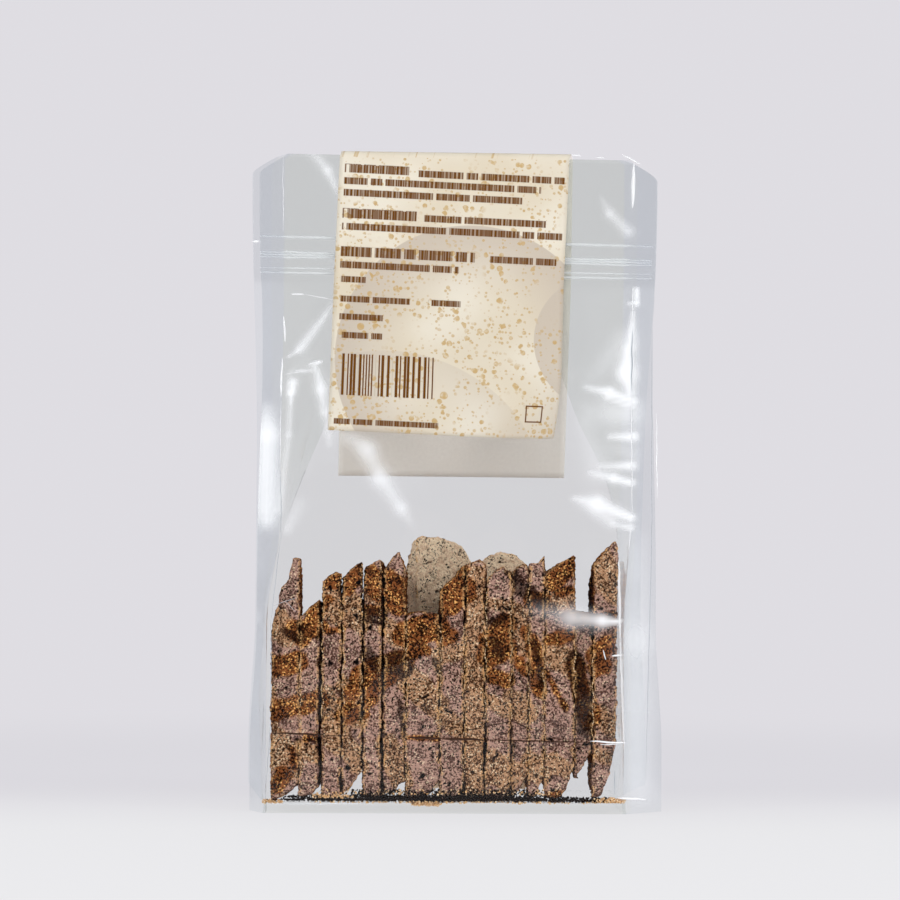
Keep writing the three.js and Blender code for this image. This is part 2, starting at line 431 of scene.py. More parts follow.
class Tree:
    """A node tree being made."""

    def __init__(self, tree):
        self.tree = tree
        tree.nodes.clear()

    def add(self, kind, settings=None, inputs=None, output=0):
        """Adds a node: its settings first, then the values or links of its sockets."""
        node = self.tree.nodes.new(kind)
        for setting, value in (settings or {}).items():
            setattr(node, setting, value)
        for name, value in (inputs or {}).items():
            if isinstance(value, Value):
                self.tree.links.new(value.socket, node.inputs[name])
            else:
                node.inputs[name].default_value = value
        return Value(self, node.outputs[output]) if node.outputs else None


class Growth(Tree):
    """A Geometry Nodes tree that grows pieces on a guide mesh."""

    def __init__(self, name, sizes):
        super().__init__(bpy.data.node_groups.new(name, "GeometryNodeTree"))
        interface = self.tree.interface
        interface.new_socket("Guide", in_out="INPUT", socket_type="NodeSocketGeometry")
        for size in sizes:
            interface.new_socket(size, in_out="INPUT", socket_type="NodeSocketFloat")
        interface.new_socket("Mesh", in_out="OUTPUT", socket_type="NodeSocketGeometry")
        self.guide = self.add("NodeGroupInput")
        self.sizes = {size: Value(self, self.guide.socket.node.outputs[size]) for size in sizes}

    def stored(self, name):
        """A number stored on the guide's points."""
        return self.add("GeometryNodeInputNamedAttribute", {"data_type": "FLOAT"}, {"Name": name})

    def chance(self, low, high, seed):
        """A random vector for each point."""
        inputs = {0: low, 1: high, "Seed": seed}
        return self.add("FunctionNodeRandomValue", {"data_type": "FLOAT_VECTOR"}, inputs)

    def result(self, geometry, material):
        real = self.add("GeometryNodeRealizeInstances", {}, {0: geometry})
        covered = self.add("GeometryNodeSetMaterial", {}, {0: real, "Material": material})
        self.add("NodeGroupOutput", {}, {0: covered})
        return self.tree


class Finish(Tree):
    """A material being made."""

    def __init__(self, name, tree=None):
        if tree is None:
            self.material = bpy.data.materials.new(name)
            self.material.use_nodes = True
            tree = self.material.node_tree
        super().__init__(tree)

    def blend(self, a, b, factor):
        """Mixes two colours."""
        inputs = {"Factor": factor, 6: opaque(a), 7: opaque(b)}
        return self.add("ShaderNodeMix", {"data_type": "RGBA"}, inputs, output=2)

    def place(self):
        """Object coordinates in millimetres."""
        coordinates = self.add("ShaderNodeTexCoord", output="Object")
        return self.scaled(coordinates, 1 / MM)

    def scaled(self, vector, scale):
        return self.add("ShaderNodeVectorMath", {"operation": "SCALE"}, {0: vector, "Scale": scale})

    def noise(self, place, size, detail=2.0, roughness=0.5):
        """Noise from 0 to 1 with lumps of the given size in millimetres."""
        inputs = {"Vector": place, "Scale": 1 / size, "Detail": detail, "Roughness": roughness}
        return self.add("ShaderNodeTexNoise", {}, inputs)

    def cells(self, place, size, output="Distance"):
        """Distance to the middle of the nearest grain, or a random colour for each grain."""
        return self.add("ShaderNodeTexVoronoi", {}, {"Vector": place, "Scale": 1 / size}, output=output)

    def stored(self, name):
        """A number stored on the mesh's points."""
        return self.add("ShaderNodeAttribute", {"attribute_name": name}, output="Fac")

    def axes(self, place):
        """The x, y and z of a place."""
        split = self.add("ShaderNodeSeparateXYZ", {}, {0: place})
        return [Value(self, output) for output in split.socket.node.outputs]

    def joined(self, x, y):
        return self.add("ShaderNodeCombineXYZ", {}, {"X": x, "Y": y})

    def bump(self, height, depth):
        """A normal from a height between 0 and 1, where 1 is the depth in millimetres."""
        return self.add("ShaderNodeBump", {}, {"Height": height, "Distance": depth * MM})

    def principled(self, colour, roughness, normal, others=None):
        inputs = {"Base Color": colour, "Roughness": roughness, "Normal": normal, **(others or {})}
        return self.add("ShaderNodeBsdfPrincipled", {}, inputs)

    def mixed(self, first, second, share):
        return self.add("ShaderNodeMixShader", {}, {0: share, 1: first, 2: second})

    def surface(self, shader):
        self.add("ShaderNodeOutputMaterial", {}, {"Surface": shader})
        return self.material


def opaque(value):
    """A colour with its alpha, or a link as it is."""
    return value if isinstance(value, Value) else (*value, 1.0)


# ---------------------------------------------------------------------------------------------
# Materials
# ---------------------------------------------------------------------------------------------


def film_finish(name, tint, gloss, roughness):
    """Clear film: what is behind shows through, it mirrors more towards its edges, and a painted highlight whitens it
    along its folds.
    """
    finish = Finish(name)
    facing = finish.add("ShaderNodeLayerWeight", {}, {"Blend": 0.5}, output="Facing")
    mirror = gloss + (1 - gloss) * facing**5
    clear = finish.add("ShaderNodeBsdfTransparent", {}, {"Color": opaque(tint)})
    shine = finish.add("ShaderNodeBsdfGlossy", {}, {"Color": opaque((1, 1, 1)), "Roughness": roughness})
    painted_highlight = finish.stored("painted_highlight")
    # Painted highlight: a white surface mixed into the film along its folds, standing for the softboxes' reflection
    white = finish.principled(opaque((0.93, 0.935, 0.95)), 0.5, finish.bump(painted_highlight, 0.02))
    return finish.surface(finish.mixed(finish.mixed(clear, shine, mirror), white, painted_highlight))


def milky_finish(name, colour, share):
    """Thicker clear plastic, a little milky."""
    finish = Finish(name)
    streaks = finish.noise(finish.place(), 9.0, detail=1.0)
    clear = finish.add("ShaderNodeBsdfTransparent", {}, {"Color": opaque((0.98, 0.99, 0.99))})
    body = finish.principled(opaque(colour), 0.5, finish.bump(streaks, 0.02))
    return finish.surface(finish.mixed(clear, body, streaks * 0.3 + (share - 0.15)))


def crumb_finish(name, colours, brightened_cut_face):
    """Baked crumb: grains and dark holes in a mottled ground, with streaks that differ in tone. The darkness of the
    holes and pits is painted shade, and the front carries a painted reflection of the film as a pale mauve haze.
    """
    finish = Finish(name)
    place = finish.place()
    tone = finish.noise(place, 6.0, detail=3.0)
    patches = finish.noise(place, 2.5, detail=3.0, roughness=0.6)
    grit = finish.noise(place, 0.65, detail=2.0, roughness=0.7)
    mottling = (grit * 0.65 + patches * 0.2 + tone * 0.15).ramp(0.45, 0.54)
    cells = finish.cells(place, 0.66)
    chance = finish.cells(place, 0.66, output="Color")
    grains = cells.ramp(0.52, 0.30) * patches.ramp(0.34, 0.56)

    # The turned slices' cut face, painted brighter to stand in for light the row keeps off it
    if brightened_cut_face:
        ground = finish.blend(colours.cut_shade, colours.brightened_cut_face, mottling)
        ground = finish.blend(ground, colours.sugar, grains * chance.ramp(0.55, 0.7) * 0.6)
    else:
        # Painted reflection of the film over the crumb's front
        ground = finish.blend(colours.reflection_veil_dark, colours.reflection_veil, mottling)
        ground = finish.blend(ground, colours.sugar, grains * chance.ramp(0.56, 0.74) * 0.7)
        dusty = finish.blend(colours.dust_shade, colours.dust, mottling)
        dusty = finish.blend(dusty, colours.sugar, grains * chance.ramp(0.50, 0.64) * 0.8)
        ground = finish.blend(ground, dusty, finish.stored("dusty"))
        bare = finish.blend(colours.crust, colours.crumb, mottling)
        nuggets = cells.ramp(0.56, 0.34) * grit.ramp(0.45, 0.53) * tone.ramp(0.40, 0.54)
        bare = finish.blend(bare, colours.grain, nuggets * chance.ramp(0.36, 0.54))
        ground = finish.blend(ground, bare, finish.stored("bare"))
        # Darkest streaks, one of them painted shade beside a gap
        ground = finish.blend(ground, colours.burnt_and_shade, finish.stored("burnt_and_shade") * (0.98 - mottling * 0.2))
    rim = finish.stored("edge") * patches.ramp(0.42, 0.54) * grit.ramp(0.42, 0.52)
    ground = finish.blend(ground, colours.rim, rim * 0.9)
    # Painted shade: the holes and random pits turn near black
    specks = grit.ramp(0.45, 0.41) * patches.ramp(0.46, 0.56)
    ground = finish.blend(ground, colours.painted_shade_black, specks.largest(finish.stored("hollow")))

    height = grit * 0.6 + (1 - cells) * 0.5
    return finish.surface(finish.principled(ground, 0.8, finish.bump(height, 0.5), {"Specular IOR Level": 0.0}))


def loose_finish(name, colours):
    """Loose crumbs: some pale and orange, some dark. The dark ones along the foot are also painted shadow under the
    slices.
    """
    finish = Finish(name)
    grit = finish.noise(finish.place(), 0.5, detail=2.0)
    pale = finish.blend(colours.rim, colours.sugar, grit.ramp(0.42, 0.66))
    # Dark loose crumbs: near-black painted shade mixed with the crust colour
    dark = finish.blend(colours.painted_shade_black, colours.crust, grit.ramp(0.4, 0.6))
    ground = finish.blend(dark, pale, finish.stored("pale"))
    return finish.surface(finish.principled(ground, 0.8, finish.bump(grit, 0.2), {"Specular IOR Level": 0.0}))


# ---------------------------------------------------------------------------------------------
# Film
# ---------------------------------------------------------------------------------------------

# A fold in the film's front: from one point to another, half its width at both ends, how far out it
# stands, and how strongly the highlight painted along it whitens the film at both ends
Fold = namedtuple("Fold", "x0 z0 x1 z1 start end rise dim bright")

FRONT_FOLDS = [
    Fold(-39.8, 163.5, -51.2, 147.8, 0.8, 1.5, 0.47, 0.35, 0.55),
    Fold(-51.2, 147.8, -55.1, 144.9, 0.6, 0.3, 0.18, 0.55, 0.55),
    Fold(-53.4, 136.7, -53.8, 133.5, 1.5, 1.2, 0.70, 0.90, 0.90),
    Fold(-53.9, 133.5, -54.0, 129.9, 0.9, 0.3, 0.23, 0.80, 0.50),
    Fold(-54.7, 140.1, -46.9, 141.1, 0.4, 0.5, 0.17, 0.40, 0.50),
    Fold(-47.8, 142.9, -44.4, 143.7, 0.4, 0.3, 0.17, 0.80, 0.80),
    Fold(-46.4, 142.6, -43.9, 134.7, 1.0, 1.7, 0.11, 0.45, 0.66),
    Fold(-43.9, 134.7, -42.5, 127.5, 1.7, 1.4, 0.13, 0.66, 0.62),
    Fold(-42.5, 127.5, -41.5, 122.0, 1.4, 1.0, 0.09, 0.62, 0.45),
    Fold(-41.5, 121.4, -41.1, 116.9, 1.5, 0.8, 0.10, 0.35, 0.20),
    Fold(-35.3, 119.8, -29.0, 115.4, 2.3, 2.9, 0.13, 0.25, 0.36),
    Fold(-29.0, 115.4, -24.7, 106.8, 2.9, 2.7, 0.15, 0.36, 0.42),
    Fold(-24.7, 106.8, -18.0, 97.2, 2.7, 1.9, 0.11, 0.42, 0.36),
    Fold(-18.0, 97.2, -14.1, 91.5, 1.9, 1.0, 0.05, 0.36, 0.08),
    Fold(-53.9, 130.9, -54.3, 120.1, 0.8, 1.0, 0.14, 0.40, 0.34),
    Fold(-54.3, 120.1, -56.8, 96.0, 1.0, 1.3, 0.11, 0.34, 0.38),
    Fold(-50.4, 98.0, -54.2, 90.0, 2.3, 1.6, 0.06, 0.15, 0.28),
    Fold(-61.4, 127.6, -61.3, 119.9, 2.3, 2.9, 0.00, 0.25, 0.90),
    Fold(-61.3, 119.9, -60.9, 93.7, 2.9, 2.9, 0.00, 0.90, 0.70),
    Fold(-47.9, 212.1, -42.7, 205.7, 1.6, 1.4, 0.15, 0.30, 0.36),
    Fold(-42.7, 205.7, -38.1, 196.6, 1.4, 0.7, 0.11, 0.36, 0.45),
    Fold(46.1, 198.7, 49.0, 193.6, 0.6, 1.4, 0.12, 0.12, 0.28),
    Fold(49.0, 193.6, 55.1, 187.8, 1.4, 1.6, 0.21, 0.28, 0.42),
    Fold(57.8, 168.9, 57.8, 165.7, 0.4, 0.6, 0.23, 0.80, 0.80),
    Fold(55.0, 164.2, 57.9, 164.3, 0.5, 0.8, 0.33, 0.50, 0.90),
    Fold(56.7, 161.7, 55.7, 150.3, 0.6, 1.6, 0.29, 0.70, 0.90),
    Fold(55.0, 148.6, 54.4, 141.5, 1.9, 2.7, 0.25, 0.85, 0.95),
    Fold(54.5, 141.5, 55.7, 135.0, 2.7, 1.5, 0.19, 0.90, 0.75),
    Fold(41.0, 136.7, 48.9, 135.1, 0.8, 1.5, 0.59, 0.35, 0.85),
    Fold(48.9, 135.1, 56.6, 132.4, 1.5, 1.2, 0.68, 0.85, 0.90),
    Fold(47.6, 133.3, 56.6, 130.6, 0.8, 0.7, 0.24, 0.30, 0.60),
    Fold(41.8, 138.1, 53.8, 151.9, 2.6, 3.9, 0.00, 0.06, 0.24),
    Fold(43.6, 128.4, 54.6, 128.5, 4.5, 4.5, 0.00, 0.18, 0.46),
    Fold(40.3, 124.2, 45.8, 109.8, 2.9, 3.9, 0.00, 0.10, 0.22),
    Fold(49.0, 120.9, 56.4, 120.9, 1.0, 1.6, 0.68, 0.45, 0.95),
    Fold(45.9, 111.4, 56.2, 111.5, 0.8, 1.4, 0.56, 0.30, 0.90),
    Fold(42.6, 109.1, 50.3, 107.5, 0.8, 1.3, 0.49, 0.35, 0.78),
    Fold(50.3, 107.5, 56.1, 106.0, 1.3, 1.1, 0.61, 0.78, 0.90),
    Fold(37.3, 100.9, 45.0, 99.2, 0.8, 2.3, 0.36, 0.45, 0.75),
    Fold(45.0, 99.2, 55.9, 94.8, 2.3, 1.2, 0.45, 0.75, 0.95),
    Fold(40.5, 99.2, 49.4, 93.5, 1.9, 1.9, 0.00, 0.15, 0.45),
    Fold(50.1, 92.8, 55.9, 91.6, 0.8, 1.0, 0.45, 0.35, 0.80),
    Fold(47.9, 117.5, 56.3, 115.6, 1.6, 2.3, 0.00, 0.05, 0.22),
    Fold(57.0, 85.9, 57.5, 55.6, 4.5, 4.8, 0.00, 0.10, 0.22),
    Fold(57.5, 55.6, 58.0, 7.8, 4.8, 4.8, 0.00, 0.22, 0.20),
    Fold(24.5, 65.4, 36.5, 62.8, 2.2, 3.0, 0.00, 0.08, 0.30),
    Fold(36.5, 62.8, 46.5, 61.9, 3.0, 1.7, 0.00, 0.30, 0.70),
    Fold(46.5, 61.9, 52.3, 61.5, 1.7, 0.6, 0.06, 0.70, 0.95),
    Fold(42.3, 57.5, 50.7, 61.3, 0.8, 0.8, 0.00, 0.05, 0.15),
]

# What the zip lifts out of both panels: height from the middle of its track, half its height,
# how far out it stands, and how much more it falls to the right than the top edge
Relief = namedtuple("Relief", "rise half out fall")

ZIP_RELIEFS = [
    Relief(5.6, 0.5, 0.35, 0.009),
    Relief(0.1, 1.4, 0.7, 0.0055),
    Relief(-4.0, 0.4, 0.3, 0.0),
    Relief(-5.7, 0.45, 0.3, 0.0),
]
RELIEF_EDGE = 0.2

# Where a corner seal of the front twists: its side, the heights it spans and how steeply it falls back
Twist = namedtuple("Twist", "side low high slope")

TWISTS = [Twist(-1, 93, 122, 0.42), Twist(-1, 32, 60, 0.2), Twist(1, 128, 158, 0.2)]

FRONT_COLUMNS = 120
GUSSET_COLUMNS = 24
FIN_COLUMNS = 5
FIN_GAP = 0.25
FIN_KINK = 0.25
ROW_STEP = 0.95
TOP_CLOSING = 1.2


def zip_fall(form, x, z):
    """How far the zip's lines fall to the right, more than the top edge does, at each point."""
    rises, falls = zip((-9, 0), *((relief.rise, relief.fall) for relief in reversed(ZIP_RELIEFS)), (9, 0))
    return x * np.interp(z - form.zip_height, rises, falls)


def zip_relief(form, z):
    """How far the zip lifts the panels at each point."""
    total = np.zeros_like(z)
    for relief in ZIP_RELIEFS:
        away = np.abs(z - form.zip_height - relief.rise)
        total += relief.out * (1 - smooth(away, relief.half - RELIEF_EDGE, relief.half + RELIEF_EDGE))
    return total


def along_line(x, z, line):
    """How far each point is along a line from one end to the other, and its distance from it."""
    dx, dz = line.x1 - line.x0, line.z1 - line.z0
    along = np.clip(((x - line.x0) * dx + (z - line.z0) * dz) / (dx * dx + dz * dz), 0, 1)
    return along, np.hypot(x - line.x0 - along * dx, z - line.z0 - along * dz)


def fold_relief(x, z, folds):
    """How far the folds lift the film at each point, and how strong the highlight painted along them is."""
    lift = np.zeros_like(x)
    painted_highlight = np.zeros_like(x)
    for fold in folds:
        along, away = along_line(x, z, fold)
        near = away / lerp(fold.start, fold.end, along)
        lift += fold.rise * np.sin(np.pi * np.clip(along, 0.04, 0.96)) * np.exp(-(near**1.5))
        painted_highlight = 1 - (1 - painted_highlight) * (1 - lerp(fold.dim, fold.bright, along) * np.exp(-(near**2)))
    return lift, painted_highlight


def film_section(form, z):
    """Outline of the film at a height, anticlockwise from the front left corner fold, and what each point is on."""
    left, right = (float(side) for side in form.sides(z))
    front_edges = form.seal_edges(z, FRONT_FIN_FOOT)
    back_left, back_right = form.seal_edges(z, BACK_FIN_FOOT)
    back_edges = back_left, back_right + BACK_SHIFT * form.shift_share(z)
    half = float(form.depth(z)) / 2
    closing = float(smooth(np.array(z), form.height - TOP_CLOSING, form.height))
    half = lerp(half, 0.2, closing)
    gap = min(FIN_GAP, half * 0.6)
    outline = []

    def panel(front):
        xs = np.linspace(left, right, FRONT_COLUMNS)
        out = lerp(form.panel(xs, z), half, closing)
        side = -1 if front else 1
        for x, y in zip(xs if front else xs[::-1], out if front else out[::-1]):
            outline.append((x, side * y))

    def flank(corner, edge, end_edge, start):
        """A corner seal, the folded side and the other corner seal."""
        inward = math.copysign(1, corner)
        steps = range(1, FIN_COLUMNS + 1)
        outline.extend((lerp(corner, edge, step / FIN_COLUMNS), start * half) for step in steps)
        outline.extend(
            (lerp(edge, corner, step / FIN_COLUMNS), start * (half - gap)) for step in range(FIN_COLUMNS)
        )
        for step in range(GUSSET_COLUMNS + 1):
            across = step / GUSSET_COLUMNS
            fold = 1 - abs(2 * across - 1)
            x = corner - inward * fold * float(form.gusset(z))
            outline.append((x, lerp(start, -start, across) * (half - gap)))
        outline.extend(
            (lerp(corner, end_edge, step / FIN_COLUMNS), -start * (half - gap)) for step in steps
        )
        outline.extend((lerp(end_edge, corner, step / FIN_COLUMNS), -start * half) for step in range(FIN_COLUMNS))

    panel(True)
    flank(right, float(front_edges[1]), float(back_edges[1]), -1)
    panel(False)
    flank(left, float(back_edges[0]), float(front_edges[0]), 1)
    return outline


def film_heights(form):
    """Heights of the film's rows, closer together at the base fold, the zip and the top corners."""
    rows = np.linspace(0, form.height, int(form.height / ROW_STEP) + 1)
    crease = CREASE_HEIGHT + np.linspace(-1.6, 1.6, 13)
    track = form.zip_height + np.linspace(-7, 7, 57)
    corner = form.height - TOP_CORNER_DOWN * (1 - np.sin(np.linspace(0.15, 1, 7) * math.pi / 2))
    top = form.height - np.array([0.9, 0.6, 0.3])
    away = [z for z in rows if abs(z - CREASE_HEIGHT) > 1.8 and abs(z - form.zip_height) > 7.2]
    return np.unique(np.round(np.concatenate([away, crease, track, corner, top]), 3))


def film_envelope(form, crumple):
    """The whole film as one closed sheet."""
    heights = film_heights(form)
    rows = [[(x, y, z) for x, y in film_section(form, z)] for z in heights]
    columns = len(rows[0])
    points = np.array(rows).reshape(-1, 3)
    faces = list(grid_faces(len(rows), columns, wrap=True))

    # Dents: slanted facets with soft creases, and finer ones where the slices press
    x, y, z = points.T
    index = np.arange(len(points)) % columns
    flank = FIN_COLUMNS * 4 + GUSSET_COLUMNS + 1
    on_front = index < FRONT_COLUMNS
    on_back = (index >= FRONT_COLUMNS + flank) & (index < 2 * FRONT_COLUMNS + flank)
    on_panel = on_front | on_back
    mirrored = np.where(on_front, x, 400 - x)[on_panel]
    pressed = smooth(form.fill_height + 6 - z, 0, 12)
    calm = smooth(form.zip_lowest - z, -2, 14)
    aside = lerp(0.3, 0.6, smooth(np.abs(x), 26, 48))
    dent = np.zeros(len(points))
    dent[on_panel] = (
        facets(mirrored, z[on_panel], 13.0, 1.9, math.radians(38), 3) * (aside * lerp(0.10, 1.0, calm))[on_panel]
        + 0.28 * facets(mirrored, z[on_panel], 6.0, 1.5, math.radians(64), 4) * lerp(0.2, 1.0, pressed)[on_panel]
    )
    left, right = form.sides(z)
    reach = np.minimum(np.abs(x - left), np.abs(right - x))
    held = smooth(reach, 0, 5) * smooth(z, 0, 5) * smooth(form.height - z, 0, 4)
    out = np.where(on_front, -1.0, np.where(on_back, 1.0, 0.0))
    frontal = (y < 0) & ((index < FRONT_COLUMNS + 2 * FIN_COLUMNS) | (index >= len(rows[0]) - 2 * FIN_COLUMNS))
    # The folds' painted highlight, kept to the front and its corner seals
    lift, painted_highlight = fold_relief(x, z, FRONT_FOLDS)
    lift = np.where(on_front, lift, 0.0)
    painted_highlight = np.where(frontal, painted_highlight, 0.0)
    crease = np.exp(-(((z - CREASE_HEIGHT) / 0.45) ** 2)) * 0.35
    relief = zip_relief(form, z) * smooth(reach, 0, 4)
    points[:, 1] += out * (held * crumple * dent + lift + relief - crease * smooth(reach, 0, 2))
    points[:, 2] -= zip_fall(form, x, z)

    # Folded sides buckle
    on_side = ~on_panel
    start = np.where(index < FRONT_COLUMNS + flank, FRONT_COLUMNS, 2 * FRONT_COLUMNS + flank)
    place = index - start
    across = np.clip((place - 2 * FIN_COLUMNS) / GUSSET_COLUMNS, 0, 1)
    free = np.sin(np.pi * across) ** 0.5 * on_side * smooth(z, 0, 6) * calm
    sheet = across * 60 + np.sign(x) * 300
    buckle = np.zeros(len(points))
    buckle[on_side] = facets(sheet[on_side], z[on_side], 8.0, 2.2, math.radians(80), 5)
    half = form.depth(z) / 2
    folded = form.gusset(z)
    span = np.hypot(half, folded)
    points[:, 0] += free * crumple * 1.6 * buckle * half / span
    points[:, 1] += free * crumple * 1.6 * buckle * np.abs(folded) / span * np.sign(y)

    # Corner seals kink a little front to back
    sealed = on_side & (across * (1 - across) == 0)
    distance = np.maximum(np.maximum(left - x, x - right), 0)
    kink = np.zeros(len(points))
    corner = np.sign(x) * 100 + np.sign(y) * 200
    kink[sealed] = facets(distance[sealed] + corner[sealed], z[sealed], 11.0, 1.8, math.radians(90), 8)
    points[:, 1] += kink * np.minimum(distance / 5, 1) * FIN_KINK * calm * smooth(z, 2, 12)
    for twist in TWISTS:
        share = smooth(z, twist.low - 5, twist.low + 2) * (1 - smooth(z, twist.high - 2, twist.high + 6))
        points[:, 1] += sealed * (y < 0) * (x * twist.side > 0) * share * twist.slope * distance

    # Base panel, lifted inside its seal
    base = points[:columns].copy()
    rings = []
    for lift_share in (0.3, 1.0):
        ring = base.copy()
        ring[:, :2] *= 1 - 0.006
        ring[:, 2] = form.base_lift * lift_share
        rings.append(ring)
    centre = np.array([(RIGHT_CORNER.low - LEFT_CORNER.low) / 2, 0, form.base_lift])
    for share in np.linspace(0, 1, 16)[1:-1]:
        ring = lerp(rings[1], centre, share)
        ring[:, 2] += 0.5 * ripple(ring, 12.0, 11) * min(share * 6, 1)
        rings.append(ring)
    start = 0
    for ring in rings:
        offset = len(points)
        points = np.vstack([points, ring])
        for i in range(columns):
            j = (i + 1) % columns
            faces.append((start + j, start + i, offset + i, offset + j))
        start = offset
    faces.append([start + i for i in reversed(range(columns))])
    top = (len(heights) - 1) * columns
    faces.append([top + i for i in range(columns)])
    in_seal = [place[face[0]] >= 0 and not 0 < across[face[0]] < 1 for face in faces[: (len(heights) - 1) * columns]]
    painted_highlight = np.concatenate([painted_highlight, np.zeros(len(points) - len(painted_highlight))])
    return form.lean(points), faces, in_seal, painted_highlight


class POUCH_OT_film(bpy.types.Operator):
    """Makes the film as one closed envelope with dents and folds"""

    bl_idname = "pouch.film"
    bl_label = "Film"

    def execute(self, context):
        scene = context.scene
        form = PouchForm(scene.pouch_sizes)
        points, faces, in_seal, painted_highlight = film_envelope(form, scene.pouch_sizes.crumple / MM)
        mesh = mesh_from("film", points, faces)
        # The painted highlight of the folds, stored on the points
        point_attribute(mesh, "painted_highlight", painted_highlight)
        for face in np.flatnonzero(in_seal):
            mesh.polygons[face].material_index = 1
        triangulate_large(mesh)
        piece = object_of(mesh, film_finish("clear film", tuple(scene.pouch_colours.film), 0.02, 0.10), sharp=38)
        mesh.materials.append(film_finish("sealed film", tuple(scene.pouch_colours.seal), 0.05, 0.16))
        finished(piece, "pouch")
        return {"FINISHED"}


def triangulate_large(mesh):
    """Splits faces of more than four sides, so that flat caps close cleanly."""
    work = bmesh.new()
    work.from_mesh(mesh)
    large = [face for face in work.faces if len(face.verts) > 4]
    bmesh.ops.triangulate(work, faces=large, ngon_method="EAR_CLIP")
    work.to_mesh(mesh)
    work.free()


# ---------------------------------------------------------------------------------------------
# Slices
# ---------------------------------------------------------------------------------------------

# A slice seen from the front, in millimetres: its sides, the outline of its top and foot as
# (share across, height) points, how far its front stands back from the row's, its turn about
# the vertical in degrees, and the height above which the gap to its right is open
Slice = namedtuple("Slice", "left right top foot back turn open")

ROW = [
    Slice(
        -58.9,
        -50.4,
        [(0, 60), (0.1, 64), (0.27, 66.8), (0.31, 71.3), (0.6, 74.5), (0.64, 77), (0.8, 81), (1, 80.8)],
        [(0, 4), (0.2, 4.2), (0.6, 6), (1, 9)],
        0.6,
        0,
        200,
    ),
    Slice(-50.1, -44.3, [(0, 62), (0.5, 65.2), (1, 67.6)], [(0, 5), (0.6, 5.5), (1, 8)], 0.0, 0.4, 200),
    Slice(-42.8, -37.2, [(0, 73.5), (0.3, 75), (0.7, 76.4), (1, 76)], [(0, 5), (1, 5.2)], 0.3, 0.3, 70),
    Slice(-36.4, -30.6, [(0, 74.8), (0.5, 78), (1, 79.8)], [(0, 5.5), (0.3, 7.5), (0.6, 10), (1, 13)], 0.2, 0, 66),
    Slice(
        -29.6, -24.4, [(0, 77.5), (0.15, 78.6), (0.5, 79.6), (0.9, 80.8), (1, 80)], [(0, 5), (1, 5)], 0.0, 0, 200
    ),
    Slice(
        -23.1,
        -16.7,
        [(0, 77.5), (0.35, 81), (0.65, 83.3), (0.82, 81), (1, 77.5)],
        [(0, 6.3), (0.55, 6.5), (0.7, 9), (1, 10)],
        0.4,
        0.3,
        200,
    ),
    Slice(
        -16.0, -5.8, [(0, 63.4), (0.4, 64.2), (1, 63.4)], [(0, 4.4), (0.65, 5), (0.8, 7.5), (1, 10.5)], 0.2, -0.3, 200
    ),
    Slice(-5.1, 2.1, [(0, 71), (0.5, 75), (0.85, 77.8), (1, 79)], [(0, 4.2), (1, 4.2)], 0.3, 0, 200),
    Slice(2.7, 8.7, [(0, 79.2), (0.3, 79.8), (0.7, 81), (1, 79.4)], [(0, 4), (1, 4)], 0.5, -0.2, 200),
    Slice(
        9.5, 17.1, [(0, 74), (0.35, 77), (0.65, 79), (0.75, 77.4), (1, 77)], [(0, 3.9), (0.6, 4.1), (1, 5.5)], 0.1, 0, 200
    ),
    Slice(
        17.7, 22.8, [(0, 76), (0.25, 78.4), (0.6, 79.4), (0.9, 79), (1, 77)], [(0, 4.6), (0.4, 6.6), (1, 12)], 1.0, 0.4, 200
    ),
    Slice(
        23.2,
        27.7,
        [(0, 79.6), (0.6, 80), (0.85, 81.4), (0.95, 82.4), (1, 80.6)],
        [(0, 4.2), (0.5, 6), (0.85, 9.6), (1, 13)],
        0.2,
        -0.3,
        200,
    ),
    Slice(
        28.2,
        37.5,
        [(0, 76.8), (0.5, 80), (0.95, 82.6), (1, 82)],
        [(0, 8), (0.1, 5), (0.35, 4.2), (0.6, 6), (0.75, 8.5), (1, 15)],
        0.4,
        0,
        200,
    ),
    Slice(38.0, 43.2, [(0, 64.6), (1, 64.2)], [(0, 11), (0.4, 14.5), (1, 19)], 2.2, 0, 200),
    Slice(
        43.9,
        50.9,
        [(0, 79.8), (0.35, 83), (0.9, 86.6), (1, 85.2)],
        [(0, 4.8), (0.3, 5.6), (0.65, 10.5), (0.9, 17), (1, 23)],
        0.3,
        0,
        200,
    ),
]

# Two slices stand turned behind the row, with a cut face to the front
TURNED = [
    Slice(
        -13.2,
        12.8,
        [(0, 86.4), (0.07, 87.8), (0.33, 87.2), (0.5, 86), (0.65, 84.8), (0.74, 82.8), (0.8, 80.5), (1, 72)],
        [(0, 5), (1, 5)],
        44.5,
        30,
        200,
    ),
    Slice(9.0, 24.6, [(0, 79), (0.2, 81.6), (0.45, 82.6), (0.75, 81.6), (1, 78)], [(0, 5), (1, 5)], 39.7, -8, 200),
]

ROW_FRONT = -27.2
ROW_TURN = -1.7
TURNED_THICKNESS = 6.2
END_ROUNDING = 1.2
TOP_FALL = 9.0
FOOT_RISE = 5.0
CLOSING_DEPTH = 13.0
CLOSED_GAP = 0.1

# Streaks on the fronts of the slices, in millimetres: from one point to another, and half as wide
Streak = namedtuple("Streak", "x0 z0 x1 z1 width")

